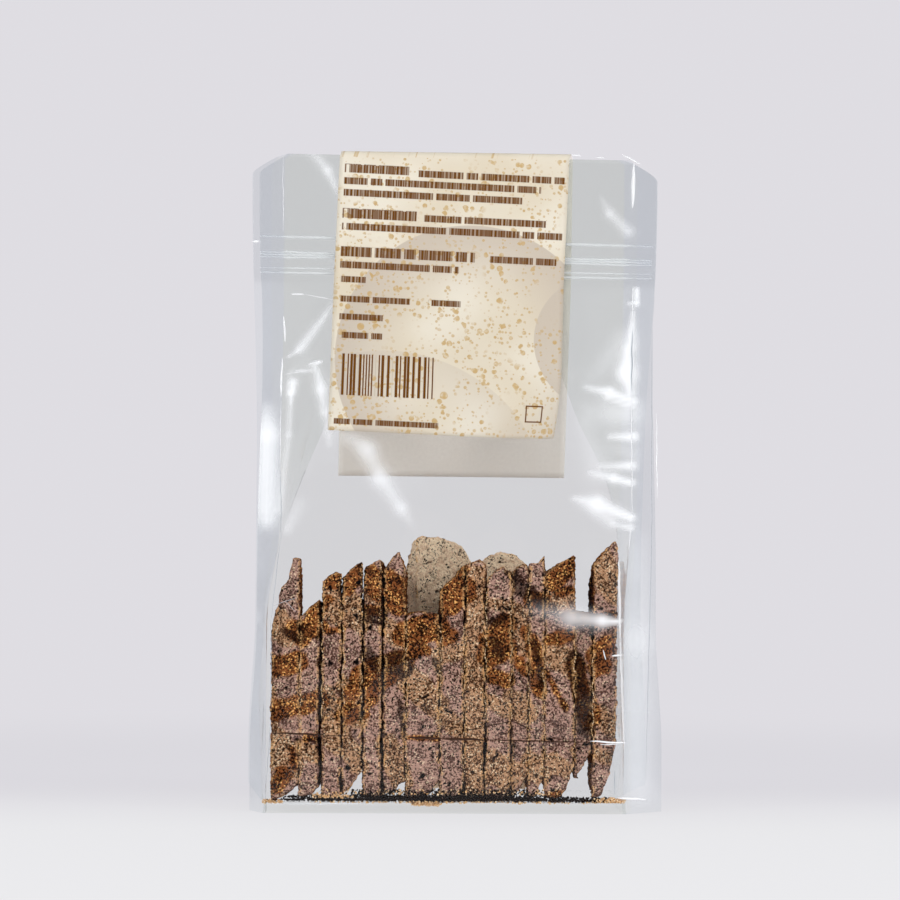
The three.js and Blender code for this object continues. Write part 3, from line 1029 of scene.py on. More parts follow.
DUSTY_STREAKS = [
    Streak(-57.8, 61.6, -53.4, 56.5, 4.2),
    Streak(-57.8, 22.6, -53.4, 15.3, 4.8),
    Streak(-50.2, 20.7, -45.1, 18.2, 2.9),
    Streak(-42.2, 68.0, -37.1, 64.1, 5.1),
    Streak(-41.9, 36.0, -37.4, 22.6, 4.2),
    Streak(-36.1, 68.0, -31.0, 61.6, 4.5),
    Streak(-35.5, 21.7, -31.0, 15.3, 3.2),
    Streak(-35.5, 39.9, -31.0, 29.7, 3.2),
    Streak(-28.5, 69.2, -24.3, 68.0, 2.2),
    Streak(-22.1, 59.0, -17.6, 55.2, 3.2),
    Streak(-22.1, 21.7, -17.6, 10.5, 3.8),
    Streak(-15.1, 42.4, -6.8, 34.8, 4.5),
    Streak(-6.4, 52.0, -5.8, 39.2, 1.0),
    Streak(-4.2, 50.4, 1.5, 52.0, 2.9),
    Streak(-4.2, 30.9, 1.5, 26.5, 2.9),
    Streak(5.7, 75.9, 5.7, 8.9, 3.5),
    Streak(10.5, 67.0, 15.6, 66.0, 1.9),
    Streak(10.5, 36.0, 15.6, 32.2, 2.2),
    Streak(11.1, 15.3, 16.2, 12.1, 5.1),
    Streak(18.5, 64.8, 22.6, 52.0, 2.9),
    Streak(18.1, 36.0, 22.0, 32.2, 3.8),
    Streak(18.8, 13.7, 22.0, 12.1, 2.6),
    Streak(23.9, 16.9, 27.4, 12.1, 3.2),
    Streak(29.6, 67.3, 36.6, 68.0, 2.9),
    Streak(29.0, 52.0, 36.6, 47.5, 4.2),
    Streak(30.3, 16.9, 34.7, 13.7, 2.9),
    Streak(44.9, 80.7, 50.1, 71.8, 4.8),
    Streak(44.9, 32.2, 50.1, 27.1, 3.5),
    Streak(44.3, 19.4, 49.4, 17.8, 2.2),
    Streak(-58.5, 39.2, -57.8, 26.5, 1.0),
]

BARE_STREAKS = [
    Streak(-52.7, 59.0, -51.1, 56.5, 2.6),
    Streak(-57.5, 46.3, -50.8, 48.2, 3.5),
    Streak(-58.5, 32.2, -50.2, 34.1, 3.5),
    Streak(-57.8, 8.3, -55.3, 11.8, 2.9),
    Streak(-52.4, 20.1, -51.5, 14.3, 1.3),
    Streak(-49.2, 55.2, -44.4, 65.4, 2.9),
    Streak(-48.6, 58.4, -44.4, 59.0, 3.5),
    Streak(-49.9, 33.8, -43.8, 36.0, 3.2),
    Streak(-47.6, 23.6, -44.1, 23.9, 1.4),
    Streak(-40.0, 73.1, -38.1, 75.0, 2.6),
    Streak(-41.2, 57.7, -37.1, 58.4, 1.4),
    Streak(-41.9, 66.0, -40.9, 68.0, 1.6),
    Streak(-34.9, 72.1, -31.0, 77.5, 2.9),
    Streak(-35.2, 36.0, -30.7, 41.1, 2.9),
    Streak(-35.8, 30.9, -30.4, 32.2, 2.9),
    Streak(-28.5, 75.9, -24.6, 71.2, 4.2),
    Streak(-29.1, 42.4, -23.7, 45.0, 5.4),
    Streak(-29.1, 34.8, -27.2, 36.0, 2.6),
    Streak(-29.1, 64.8, -24.3, 64.1, 1.9),
    Streak(-22.7, 72.7, -17.6, 68.0, 5.4),
    Streak(-23.0, 47.5, -17.0, 48.8, 3.5),
    Streak(-15.7, 57.1, -6.8, 59.7, 4.8),
    Streak(-15.7, 50.4, -10.6, 52.0, 2.2),
    Streak(-15.1, 23.9, -6.4, 23.6, 0.8),
    Streak(-3.6, 68.0, 0.9, 71.2, 5.4),
    Streak(-4.5, 55.2, -1.7, 56.5, 2.9),
    Streak(0.9, 75.9, 1.9, 77.5, 1.9),
    Streak(10.8, 55.2, 15.3, 60.0, 3.8),
    Streak(10.5, 50.4, 15.6, 52.6, 4.2),
    Streak(11.1, 43.7, 16.2, 42.4, 2.6),
    Streak(20.0, 48.2, 22.3, 45.6, 2.2),
    Streak(21.3, 59.0, 22.0, 57.1, 1.3),
    Streak(24.2, 55.2, 26.8, 39.2, 2.6),
    Streak(23.9, 68.0, 27.1, 68.6, 2.9),
    Streak(30.3, 74.3, 36.0, 78.8, 3.5),
    Streak(29.6, 55.2, 36.0, 57.1, 2.2),
    Streak(28.7, 44.3, 35.1, 33.5, 1.3),
    Streak(30.3, 5.4, 33.5, 5.7, 1.6),
    Streak(32.8, 70.5, 36.6, 71.2, 1.6),
    Streak(38.2, 47.2, 42.4, 29.7, 3.2),
    Streak(45.6, 62.2, 50.1, 63.2, 1.6),
    Streak(43.7, 50.4, 49.1, 54.6, 2.9),
    Streak(44.6, 46.3, 46.9, 47.2, 2.9),
    Streak(44.3, 36.0, 45.6, 29.7, 1.3),
]

# The darkest streaks: scorched crumb, except one that is painted shade
BURNT_AND_SHADE_STREAKS = [
    Streak(-22.5, 47.8, -17.0, 46.0, 3.2),
    Streak(-28.8, 51.0, -25.4, 46.5, 2.4),
    Streak(-15.4, 66.0, -13.5, 66.5, 1.2),
    Streak(-28.5, 62.5, -24.6, 62.9, 2.6),
    Streak(-19.5, 50.4, -16.7, 47.5, 1.9),
    # Painted shade at slice 6's right edge, beside the gap to slice 7
    Streak(-17.9, 36.0, -17.0, 24.9, 1.0),
    Streak(11.1, 60.9, 14.6, 62.2, 1.6),
    Streak(11.4, 55.2, 14.3, 50.4, 1.6),
    Streak(17.2, 76.9, 21.0, 70.5, 2.2),
    Streak(23.6, 70.5, 27.4, 66.7, 2.1),
    Streak(24.8, 55.2, 26.8, 42.4, 1.1),
    Streak(37.9, 48.8, 41.8, 27.1, 2.9),
    Streak(-54.0, 57.7, -51.5, 55.8, 1.6),
    Streak(-6.8, 48.8, -5.5, 45.0, 0.8),
    Streak(-50.2, 60.0, -49.2, 55.2, 1.3),
    Streak(32.8, 36.0, 35.4, 32.2, 0.6),
]


def streak_shares(x, z):
    """How far each point is inside the dusty, the bare and the darkest streaks, with uneven borders."""
    wobble = ripple(np.stack([x, z, np.zeros_like(x)], axis=1), 3.0, 41)
    shares = []
    for streaks in (DUSTY_STREAKS, BARE_STREAKS, BURNT_AND_SHADE_STREAKS):
        nearest = np.min([along_line(x, z, streak)[1] - streak.width for streak in streaks], axis=0)
        shares.append(1 - smooth(nearest + 0.9 * wobble, -0.5, 0.5))
    return shares


def lattice_shell(counts):
    """Points of a box's surface on a lattice, each once, and its quads with their faces outwards."""
    nx, ny, nz = counts
    ids = {}
    faces = []

    def side(first, second, corner_at, flip):
        for u in range(first):
            for v in range(second):
                corners = [corner_at(u, v), corner_at(u + 1, v), corner_at(u + 1, v + 1), corner_at(u, v + 1)]
                quad = [ids.setdefault(corner, len(ids)) for corner in corners]
                faces.append(quad[::-1] if flip else quad)

    side(nx, nz, lambda u, v: (u, 0, v), False)
    side(nx, nz, lambda u, v: (u, ny, v), True)
    side(ny, nz, lambda u, v: (0, u, v), True)
    side(ny, nz, lambda u, v: (nx, u, v), False)
    side(nx, ny, lambda u, v: (u, v, 0), True)
    side(nx, ny, lambda u, v: (u, v, nz), False)
    return np.array(list(ids), float), faces


def bites(y, z, seed):
    """How far the side of a slice is eaten in, with a few deeper nicks."""
    points = np.stack([np.full_like(y, seed * 3.7), y, z], axis=1)
    rough = 0.6 * ripple(points, 4.5, seed) + 0.8 * ripple(points, 1.9, seed + 1) + 0.9 * ripple(points, 0.9, seed + 2)
    return 0.5 * rough + 0.8 * smooth(rough, 0.7, 1.4)


def slice_points(shares, cut, depth, gap, seed):
    """A slice's surface in millimetres, before its grain: x across, y back from its front, z up."""
    across, back, up = shares
    top = np.interp(across, *zip(*cut.top)) - TOP_FALL * back**2
    foot = np.interp(across, *zip(*cut.foot)) + FOOT_RISE * back**2
    z = lerp(foot, top, up)
    near_end = np.clip(1 - np.minimum(z - foot, top - z) / END_ROUNDING, 0, 1)
    rounding = END_ROUNDING * (1 - np.sqrt(1 - 0.9 * near_end**2))
    y = lerp(rounding, depth - rounding, back)
    closing = (gap - CLOSED_GAP) * np.clip(y / CLOSING_DEPTH, 0, 1) * (1 - smooth(z, cut.open - 3, cut.open + 1))
    x = lerp(bites(y, z, seed), cut.right - cut.left + closing - bites(y, z, seed + 50), across)
    return np.stack([x, y, z], axis=1)


def crumbled(mesh, points, sizes, seed):
    """Moves a mesh's points for lumps and holes. Returns how hollow each point is."""
    normals = np.zeros(len(points) * 3, np.float32)
    mesh.vertex_normals.foreach_get("vector", normals)
    normals = normals.reshape(-1, 3)
    lumps = ripple(points, 6.0, seed) + 0.6 * ripple(points, 2.2, seed + 1) + 0.7 * ripple(points, 0.95, seed + 2)
    holes = ripple(points, 1.6, seed + 3) + 0.5 * ripple(points, 0.75, seed + 4)
    hollow = smooth(holes, 0.5, 0.68)
    moved = points + normals * (sizes.relief / MM * lumps - sizes.pits / MM * hollow)[:, None]
    return moved, hollow


def make_slice(name, cut, sizes, finish, seed, steps, depth, gap=CLOSED_GAP):
    """One slice, with the given steps from front to back, closer together at both faces."""
    width = cut.right - cut.left
    height = max(z for _, z in cut.top)
    counts = (round(width / SLICE_STEP), steps, round(height / SLICE_STEP))
    lattice, faces = lattice_shell(counts)
    across, back, up = (lattice / np.array(counts)).T
    back = (1 - np.cos(np.pi * back)) / 2
    points = slice_points((across, back, up), cut, depth, gap, seed)
    mesh = mesh_from(name, points, faces)
    points, hollow = crumbled(mesh, points, sizes, seed)

    turn = math.radians(cut.turn)
    cos, sin = math.cos(turn), math.sin(turn)
    x, y, z = points[:, 0] - width / 2, points[:, 1], points[:, 2]
    middle = (cut.left + cut.right) / 2
    placed = np.stack([middle + cos * x - sin * y, ROW_FRONT + cut.back + sin * x + cos * y, z], axis=1)
    mesh.vertices.foreach_set("co", (placed * MM).astype(np.float32).ravel())
    mesh.update()

    from_edges = [share * size for share, size in zip((across, back, up), (width, depth, height))]
    from_far_edges = [size - near for near, size in zip(from_edges, (width, depth, height))]
    near = np.sort(np.minimum(from_edges, from_far_edges), axis=0)[1]
    # Faces against the film carry the painted reflection of the film, unless a streak makes them dusty, bare or
    # darkest
    touching = np.exp(-np.maximum(y - 0.4, 0) / 1.2)
    dusty, bare, burnt_and_shade = streak_shares(placed[:, 0], z)
    point_attribute(mesh, "edge", np.exp(-((near / 0.5) ** 2)))
    point_attribute(mesh, "hollow", hollow)
    point_attribute(mesh, "dusty", dusty * touching)
    point_attribute(mesh, "bare", 1 - (1 - bare) * touching)
    point_attribute(mesh, "burnt_and_shade", burnt_and_shade * touching)
    finished(object_of(mesh, finish), "pouch")


SLICE_STEP = 0.36
INNER_STEPS = 26
OUTER_STEPS = 56
TURNED_STEPS = 16


class POUCH_OT_slices(bpy.types.Operator):
    """Makes the row of upright slices and the two turned ones behind it"""

    bl_idname = "pouch.slices"
    bl_label = "Biscotti slices"

    def execute(self, context):
        sizes = context.scene.slice_sizes
        depth = sizes.depth / MM
        crust = crumb_finish("baked crumb", context.scene.pouch_colours, brightened_cut_face=False)
        for number, cut in enumerate(ROW):
            steps = OUTER_STEPS if cut in (ROW[0], ROW[-1]) else INNER_STEPS
            lined_up = cut._replace(turn=cut.turn + ROW_TURN)
            gap = ROW[number + 1].left - cut.right if number + 1 < len(ROW) else CLOSED_GAP
            make_slice(f"slice_{number + 1:02d}", lined_up, sizes, crust, 20 + 7 * number, steps, depth, gap)
        face = crumb_finish("cut crumb", context.scene.pouch_colours, brightened_cut_face=True)
        for number, cut in enumerate(TURNED):
            name = f"turned_slice_{number + 1}"
            make_slice(name, cut, sizes, face, 200 + 7 * number, TURNED_STEPS, TURNED_THICKNESS)
        return {"FINISHED"}


# ---------------------------------------------------------------------------------------------
# Crumbs
# ---------------------------------------------------------------------------------------------

# A pile of crumbs at the foot of the front: its middle, how wide and high it spreads, how many
# crumbs it has as a share of all, and whether they are pale
Pile = namedtuple("Pile", "x z wide high share pale")

PILES = [
    # The dark piles along the foot are dark crumbs and also painted shadow under the slices
    Pile(-10.5, 3.9, 88.0, 1.5, 0.30, 0.0),
    Pile(-3.0, 4.2, 58.0, 3.2, 0.26, 0.0),
    Pile(40.0, 3.8, 18.0, 1.2, 0.05, 0.0),
    Pile(-58.5, 3.2, 6.0, 0.8, 0.02, 1.0),
    Pile(-39.0, 4.8, 13.0, 0.9, 0.03, 1.0),
    Pile(-9.5, 2.4, 9.0, 1.4, 0.05, 1.0),
    Pile(49.0, 3.6, 10.0, 1.3, 0.06, 1.0),
    Pile(-6.0, 5.9, 76.0, 1.6, 0.04, 1.0),
    Pile(-2.0, 3.3, 84.0, 0.4, 0.04, 1.0),
]
PILE_FRONT = -29.0
PILE_BACK = -25.0
EDGE_CRUMB_SHARE = 0.36
EDGE_CRUMB_SIZE = 0.6


def pile_crumbs(chance, count):
    """Crumbs in the piles: place, size and how pale each is."""
    crumbs = []
    for pile in PILES:
        for _ in range(round(pile.share * count)):
            x = pile.x + pile.wide * (chance.uniform(-0.5, 0.5) + chance.gauss(0, 0.04))
            z = pile.z + pile.high * chance.random() ** 1.6
            y = chance.uniform(PILE_FRONT, PILE_BACK)
            crumbs.append((x, y, z, chance.uniform(0.5, 1.7) ** 1.3, pile.pale))
    return crumbs


# Edges of slices that crumbs line: place across, and the lowest and highest of them
Edge = namedtuple("Edge", "x low high")

CRUMBED_EDGES = [
    Edge(-49.9, 27, 52),
    Edge(-42.9, 30, 66),
    Edge(-36.1, 34, 60),
    Edge(-30.5, 12, 79),
    Edge(-24.8, 34, 79),
    Edge(-16.1, 10, 62),
    Edge(-5.3, 20, 60),
    Edge(2.3, 8, 60),
    Edge(9.2, 30, 72),
    Edge(17.3, 30, 76),
    Edge(23.0, 10, 76),
    Edge(27.9, 14, 48),
    Edge(37.7, 18, 68),
    Edge(43.6, 22, 52),
]


def edge_crumbs(chance, count):
    """Crumbs that cling to the front edges of the slices."""
    crumbs = []
    for edge in CRUMBED_EDGES:
        for _ in range(round(EDGE_CRUMB_SHARE * count / len(CRUMBED_EDGES))):
            z = lerp(edge.low, edge.high, chance.random())
            x = edge.x + 0.3 * math.sin(z * 0.9 + edge.x) + chance.gauss(0, 0.1)
            y = ROW_FRONT + chance.uniform(-0.1, 0.5)
            crumbs.append((x, y, z, EDGE_CRUMB_SIZE * chance.uniform(0.6, 1.5), 1.0))
    return crumbs


def crumb_growth(finish):
    """Puts a small, unevenly stretched crumb on each guide point."""
    growth = Growth("crumbs", ["Width"])
    grain = growth.add("GeometryNodeMeshIcoSphere", {}, {"Radius": 0.5, "Subdivisions": 1})
    turn = growth.chance((0, 0, 0), (6.3, 6.3, 6.3), seed=5)
    size = growth.stored("size") * growth.sizes["Width"]
    inputs = {0: growth.chance((0.6, 0.6, 0.5), (1.3, 1.1, 0.9), seed=3), "Scale": size}
    stretch = growth.add("ShaderNodeVectorMath", {"operation": "SCALE"}, inputs)
    placed = {"Points": growth.guide, "Instance": grain, "Rotation": turn, "Scale": stretch}
    return growth.result(growth.add("GeometryNodeInstanceOnPoints", {}, placed), finish)


class POUCH_OT_crumbs(bpy.types.Operator):
    """Scatters loose crumbs at the foot of the row and on the slices' edges"""

    bl_idname = "pouch.crumbs"
    bl_label = "Crumbs"

    def execute(self, context):
        sizes = context.scene.slice_sizes
        chance = random.Random(7)
        crumbs = np.array(pile_crumbs(chance, sizes.crumbs) + edge_crumbs(chance, sizes.crumbs))
        guide = mesh_from("crumb_places", crumbs[:, :3], [])
        point_attribute(guide, "size", crumbs[:, 3])
        point_attribute(guide, "pale", crumbs[:, 4])
        tree = crumb_growth(loose_finish("loose crumb", context.scene.pouch_colours))
        mesh = grown(guide, tree, {"Width": sizes.crumb})
        mesh.name = "crumbs"
        finished(object_of(mesh, sharp=0), "pouch")
        return {"FINISHED"}


# ---------------------------------------------------------------------------------------------
# Zip
# ---------------------------------------------------------------------------------------------

# A rib of the zip: its height from the middle of the track, its radius, how much more it falls
# to the right than the top edge, and how far it fans out at its crushed ends
Rib = namedtuple("Rib", "rise radius fall fan")

RIBS = [
    Rib(5.6, 0.50, 0.009, 0.0),
    Rib(0.75, 0.42, 0.0055, 0.3),
    Rib(0.0, 0.50, 0.0055, 0.1),
    Rib(-0.75, 0.42, 0.0055, -0.2),
    Rib(-4.0, 0.28, 0.0, 0.0),
    Rib(-5.5, 0.46, 0.0, 0.0),
]
RIB_STEPS = 60
RIB_SIDES = 8
RIB_DEPTH = -0.45
CRUSHED_REACH = 9.0


def rib_points(form, rib):
    """A rib's path from seal to seal, and its radius there, which shrinks in the seals."""
    z = form.zip_height + rib.rise
    left, right = (float(side) for side in form.sides(z))
    left_edge, right_edge = (float(edge) for edge in form.seal_edges(z, FRONT_FIN_FOOT))
    x = np.linspace(left_edge + 0.4, right_edge - 0.4, RIB_STEPS)
    inside = np.minimum(x - left, right - x)
    crushed = 1 - smooth(inside, 0, CRUSHED_REACH)
    wave = 0.04 * ripple(np.stack([x, np.full_like(x, rib.rise * 0.4), x * 0], axis=1), 16.0, 51)
    height = z - rib.fall * x + rib.fan * crushed * smooth(inside, -1, 2) + wave
    points = np.stack([x, np.full_like(x, RIB_DEPTH), height], axis=1)
    return form.lean(points), rib.radius * lerp(1, 0.5, smooth(-inside, -1, 1))


def thread_growth(name, finish):
    """Sweeps a round section along each guide line."""
    growth = Growth(name, ["Thickness"])
    line = growth.add("GeometryNodeMeshToCurve", {}, {0: growth.guide})
    radius = growth.stored("radius") * growth.sizes["Thickness"]
    section = growth.add("GeometryNodeCurvePrimitiveCircle", {}, {"Resolution": RIB_SIDES, "Radius": 1.0})
    swept = {0: line, "Profile Curve": section, "Scale": radius, "Fill Caps": True}
    return growth.result(growth.add("GeometryNodeCurveToMesh", {}, swept), finish)


def threads(name, paths, stored, finish):
    """One mesh of round threads along paths with as many points each, and the numbers stored on the points."""
    count = len(paths[0])
    guide = mesh_from(name, np.vstack(paths), [])
    edges = [(i, i + 1) for i in range(len(paths) * count - 1) if (i + 1) % count]
    guide.edges.add(len(edges))
    guide.edges.foreach_set("vertices", np.ravel(edges))
    for attribute, values in stored.items():
        point_attribute(guide, attribute, np.ravel(values))
    mesh = grown(guide, thread_growth(name, finish), {"Thickness": MM})
    mesh.name = name
    return mesh


class POUCH_OT_zip(bpy.types.Operator):
    """Makes the ribs and the track of the zip"""

    bl_idname = "pouch.zip"
    bl_label = "Zip"

    def execute(self, context):
        form = PouchForm(context.scene.pouch_sizes)
        paths, radii = zip(*(rib_points(form, rib) for rib in RIBS))
        finish = milky_finish("zip plastic", tuple(context.scene.pouch_colours.plastic), 0.46)
        mesh = threads("zip_ribs", paths, {"radius": radii}, finish)
        finished(object_of(mesh), "pouch")
        return {"FINISHED"}


# ---------------------------------------------------------------------------------------------
# Creases
# ---------------------------------------------------------------------------------------------

# A sharp crease in the front: its ends, half its width, its tone (0 brown painted shade, 0.5 grey, 1 white painted
# highlight) and how strongly it covers what is behind
Crease = namedtuple("Crease", "x0 z0 x1 z1 radius tone strength")

CREASES = [
    Crease(-59.2, 25.4, -42.3, 25.0, 0.3, 0, 0.8),
    Crease(-43.0, 24.9, -32.8, 24.6, 0.14, 0, 0.7),
    Crease(-15.6, 24.2, -4.8, 24.0, 0.45, 0, 0.85),
    Crease(-5.4, 24.0, 9.6, 23.6, 0.42, 0, 0.85),
    Crease(8.9, 23.6, 43.2, 22.9, 0.24, 0, 0.8),
    Crease(42.5, 23.3, 54.1, 22.7, 0.3, 1, 0.95),
    Crease(45.8, 22.1, 51.5, 22.4, 0.15, 1, 0.8),
    Crease(2.2, 26.6, 8.6, 27.5, 0.28, 0, 0.5),
    Crease(8.0, 27.5, 17.8, 29.7, 0.18, 0, 0.6),
    Crease(17.5, 29.8, 23.6, 26.8, 0.28, 0, 0.6),
    Crease(-59.0, 3.0, -26.3, 3.0, 0.16, 0.8, 0.9),
    Crease(-56.3, 211.0, -56.0, 186.1, 0.1, 1, 0.35),
    Crease(-55.8, 158.8, -55.3, 150.3, 0.3, 1, 0.9),
    Crease(-56.1, 145.1, -56.6, 132.5, 0.34, 1, 0.9),
    Crease(-56.6, 131.5, -56.8, 109.1, 0.12, 1, 0.5),
    Crease(-56.6, 109.1, -56.4, 86.8, 0.1, 0.5, 0.5),
    Crease(-53.4, 166.0, -49.2, 165.9, 0.3, 1, 0.9),
    Crease(-49.2, 165.9, -39.8, 164.3, 0.12, 1, 0.7),
    Crease(-47.9, 143.2, -44.0, 144.2, 0.2, 1, 0.8),
    Crease(-55.6, 139.9, -46.6, 141.3, 0.1, 1, 0.5),
    Crease(-56.7, 86.8, -59.4, 61.3, 0.1, 0.5, 0.45),
    Crease(-59.4, 61.3, -59.2, 32.1, 0.12, 0.5, 0.4),
    Crease(-59.2, 32.1, -60.9, 4.1, 0.1, 0.5, 0.4),
    Crease(57.7, 209.3, 57.3, 194.9, 0.65, 1, 0.75),
    Crease(57.7, 169.6, 57.1, 155.2, 0.16, 1, 0.8),
    Crease(57.1, 155.2, 56.5, 135.0, 0.12, 0.45, 0.7),
    Crease(57.5, 155.2, 56.9, 135.0, 0.12, 1, 0.6),
    Crease(56.5, 135.0, 55.9, 93.9, 0.14, 1, 0.7),
    Crease(55.9, 93.9, 54.4, 81.1, 0.12, 1, 0.5),
    Crease(64.4, 128.0, 64.0, 100.3, 0.16, 1, 0.9),
    Crease(63.4, 148.7, 60.4, 11.0, 0.1, 0.5, 0.35),
    Crease(51.5, 81.1, 52.0, 55.6, 0.45, 1, 0.5),
    Crease(52.0, 55.6, 53.5, 19.9, 0.35, 1, 0.4),
    Crease(50.5, 14.1, 50.6, 6.5, 0.1, 0.4, 0.8),
    Crease(51.3, 5.3, 60.6, 4.6, 0.42, 1, 0.95),
    Crease(53.8, 212.3, 60.0, 209.0, 0.26, 1, 0.7),
    Crease(37.2, 212.0, 40.4, 211.8, 0.3, 1, 0.7),
    Crease(45.3, 211.2, 48.3, 211.1, 0.25, 1, 0.6),
    Crease(-66.0, 182.9, -63.7, 183.1, 0.45, 1, 0.7),
    Crease(49.4, 50.5, 52.7, 50.8, 0.3, 1, 0.9),
    Crease(46.5, 52.4, 47.5, 49.2, 0.2, 1, 0.8),
    Crease(-55.0, 67.4, -51.5, 63.9, 0.1, 0.8, 0.3),
    Crease(-59.1, 65.8, -50.9, 68.7, 0.1, 0.8, 0.3),
]
CREASE_STEPS = 24
CREASE_LIFT = 0.15
CREASE_WAVE = 0.22


def crease_path(form, crease):
    """A crease's path on the front, and its radius there, which shrinks to its ends."""
    share = np.linspace(0, 1, CREASE_STEPS)
    x, z = lerp(crease.x0, crease.x1, share), lerp(crease.z0, crease.z1, share)
    wave = CREASE_WAVE * ripple(np.stack([x, z, np.full_like(x, crease.radius)], axis=1), 4.0, 61)
    upright = abs(crease.z1 - crease.z0) > abs(crease.x1 - crease.x0)
    x, z = (x + wave, z) if upright else (x, z + wave)
    path = np.stack([x, -form.panel(x, z) - CREASE_LIFT, z], axis=1)
    return path, crease.radius * np.clip(np.sin(np.pi * share), 0.02, 1) ** 0.5


def crease_highlight_and_shade_finish(name):
    """Creases coloured by tone in brown painted shade, grey and white painted highlight, covering what is behind more
    or less.
    """
    finish = Finish(name)
    tone = finish.stored("tone")
    # Brown painted shade, grey, and white painted highlight, chosen by the crease's tone
    colour = finish.blend((0.045, 0.014, 0.004), (0.40, 0.45, 0.50), tone.ramp(0, 0.5))
    colour = finish.blend(colour, (0.97, 0.97, 0.98), tone.ramp(0.5, 1))
    strength = {"Alpha": finish.stored("strength")}
    return finish.surface(finish.principled(colour, 0.6, finish.bump(tone, 0.01), strength))


class POUCH_OT_creases(bpy.types.Operator):
    """Makes the sharp creases of the front as threads: the white ones are painted highlights, the brown ones painted
    shade over the slices, the rest grey
    """

    bl_idname = "pouch.creases"
    bl_label = "Creases"

    def execute(self, context):
        form = PouchForm(context.scene.pouch_sizes)
        paths, radii = zip(*(crease_path(form, crease) for crease in CREASES))
        stored = {
            "radius": radii,
            "tone": [[crease.tone] * CREASE_STEPS for crease in CREASES],
            "strength": [[crease.strength] * CREASE_STEPS for crease in CREASES],
        }
        finished(object_of(threads("creases", paths, stored, crease_highlight_and_shade_finish("crease"))), "pouch")
        return {"FINISHED"}


# ---------------------------------------------------------------------------------------------
# Label
# ---------------------------------------------------------------------------------------------

LABEL_FRONT_LOW = 120.5
LABEL_BACK_LOW = 107.0
LABEL_TILT = 0.041
FOLD_TILT = 0.004
TILT_REACH = 10.0
LABEL_MIDDLE = -0.6
LABEL_BACK_SHIFT = 1.3
LABEL_BACK_SPREAD = 0.036
CURL_REACH = 26.0
CURL_LIFT = 4.0
CURL_PULL_ASIDE = 0.6
CURL_PULL_UP = 0.2
FOLD_START = 1.0
FOLD_BELOW = 0.3
FOLD_RISE = 1.5
GAP_TOP = 0.5
GAP_ZIP = ZIP_TRACK_RELIEF + 0.4
GAP_REACH = 8.0
GAP_END = 4.0
LABEL_WAVE = 0.35
LABEL_COLUMNS = 40
LABEL_ROWS = 46
LABEL_TURN_STEPS = 12
BACK_PRINT = 1000.0


def label_panel(form, width, side, heights, out):
    """The label's front or back: points in rows at the given heights, a little off the pouch."""
    z, across = np.meshgrid(heights, np.linspace(-width / 2, width / 2, LABEL_COLUMNS + 1), indexing="ij")
    x = LABEL_MIDDLE + across + (z - form.height) * LABEL_TILT
    turned = smooth(form.height - z, 0, TILT_REACH) if side < 0 else 0
    tilted = z - across * lerp(FOLD_TILT, LABEL_TILT, turned)
    near_top = smooth(tilted, form.zip_height + GAP_REACH, form.height - GAP_END)
    y = form.panel(x - LABEL_MIDDLE, tilted) + lerp(GAP_ZIP, GAP_TOP, near_top) + out
    if side > 0:
        x = x + LABEL_BACK_SHIFT + LABEL_BACK_SPREAD * (form.height - z)
    else:
        corner = np.maximum(1 - (width / 2 - across + z - LABEL_FRONT_LOW) / CURL_REACH, 0) ** 2
        y = y + CURL_LIFT * corner
        x = x - CURL_LIFT * CURL_PULL_ASIDE * corner
        tilted = tilted + CURL_LIFT * CURL_PULL_UP * corner
    return np.stack([x, side * y, tilted], axis=2)


def label_fold(form, width, out):
    """The label's turn over the top edge, from front to back."""
    turns = np.linspace(0, math.pi, LABEL_TURN_STEPS + 1)
    turn, across = np.meshgrid(turns, np.linspace(-width / 2, width / 2, LABEL_COLUMNS + 1), indexing="ij")
    z = form.height - FOLD_BELOW + (FOLD_RISE + out) * np.sin(turn)
    x = LABEL_MIDDLE + across + (z - form.height) * LABEL_TILT + LABEL_BACK_SHIFT * turn / math.pi
    y = -(HEADER_THICKNESS / 2 + GAP_TOP + out) * np.cos(turn)
    return np.stack([x, y, z - across * FOLD_TILT], axis=2)


def label_sheet(form, width, out):
    """One face of the folded label, row by row from its front lower edge over the top to its back lower edge.

    Each point also has its place down the print, which runs straight although the fold cuts it askew.
    """
    front = np.linspace(LABEL_FRONT_LOW, form.height - FOLD_START, LABEL_ROWS)
    back = np.linspace(form.height - FOLD_START, LABEL_BACK_LOW, LABEL_ROWS)
    panels = [
        label_panel(form, width, -1, front, out),
        label_fold(form, width, out),
        label_panel(form, width, 1, back, out),
    ]
    across = np.linspace(-width / 2, width / 2, LABEL_COLUMNS + 1)
    level = 1 - smooth(form.height - front, 0, TILT_REACH)
    cut_off = np.outer(level, across) * (LABEL_TILT - FOLD_TILT)
    down = [
        (form.height - front)[:, None] - cut_off,
        np.tile(across * (FOLD_TILT - LABEL_TILT), (LABEL_TURN_STEPS + 1, 1)),
        (form.height - back + BACK_PRINT)[:, None] + 0 * across,
    ]
    return np.vstack(panels), np.concatenate(down)


def sheet_faces(rows, columns):
    """Faces of a thin sheet: its inner and outer layer, and the rim that joins them."""
    layer = rows * columns
    quads = grid_faces(rows, columns)
    rim = [row * columns for row in range(rows)]
    rim += [layer - columns + column for column in range(1, columns)]
    rim += [row * columns + columns - 1 for row in range(rows - 2, -1, -1)]
    rim += [column for column in range(columns - 2, -1, -1)]
    wall = [(a, layer + a, layer + b, b) for a, b in zip(rim, rim[1:])]
    return [*(quads + layer), *quads[:, ::-1], *wall]


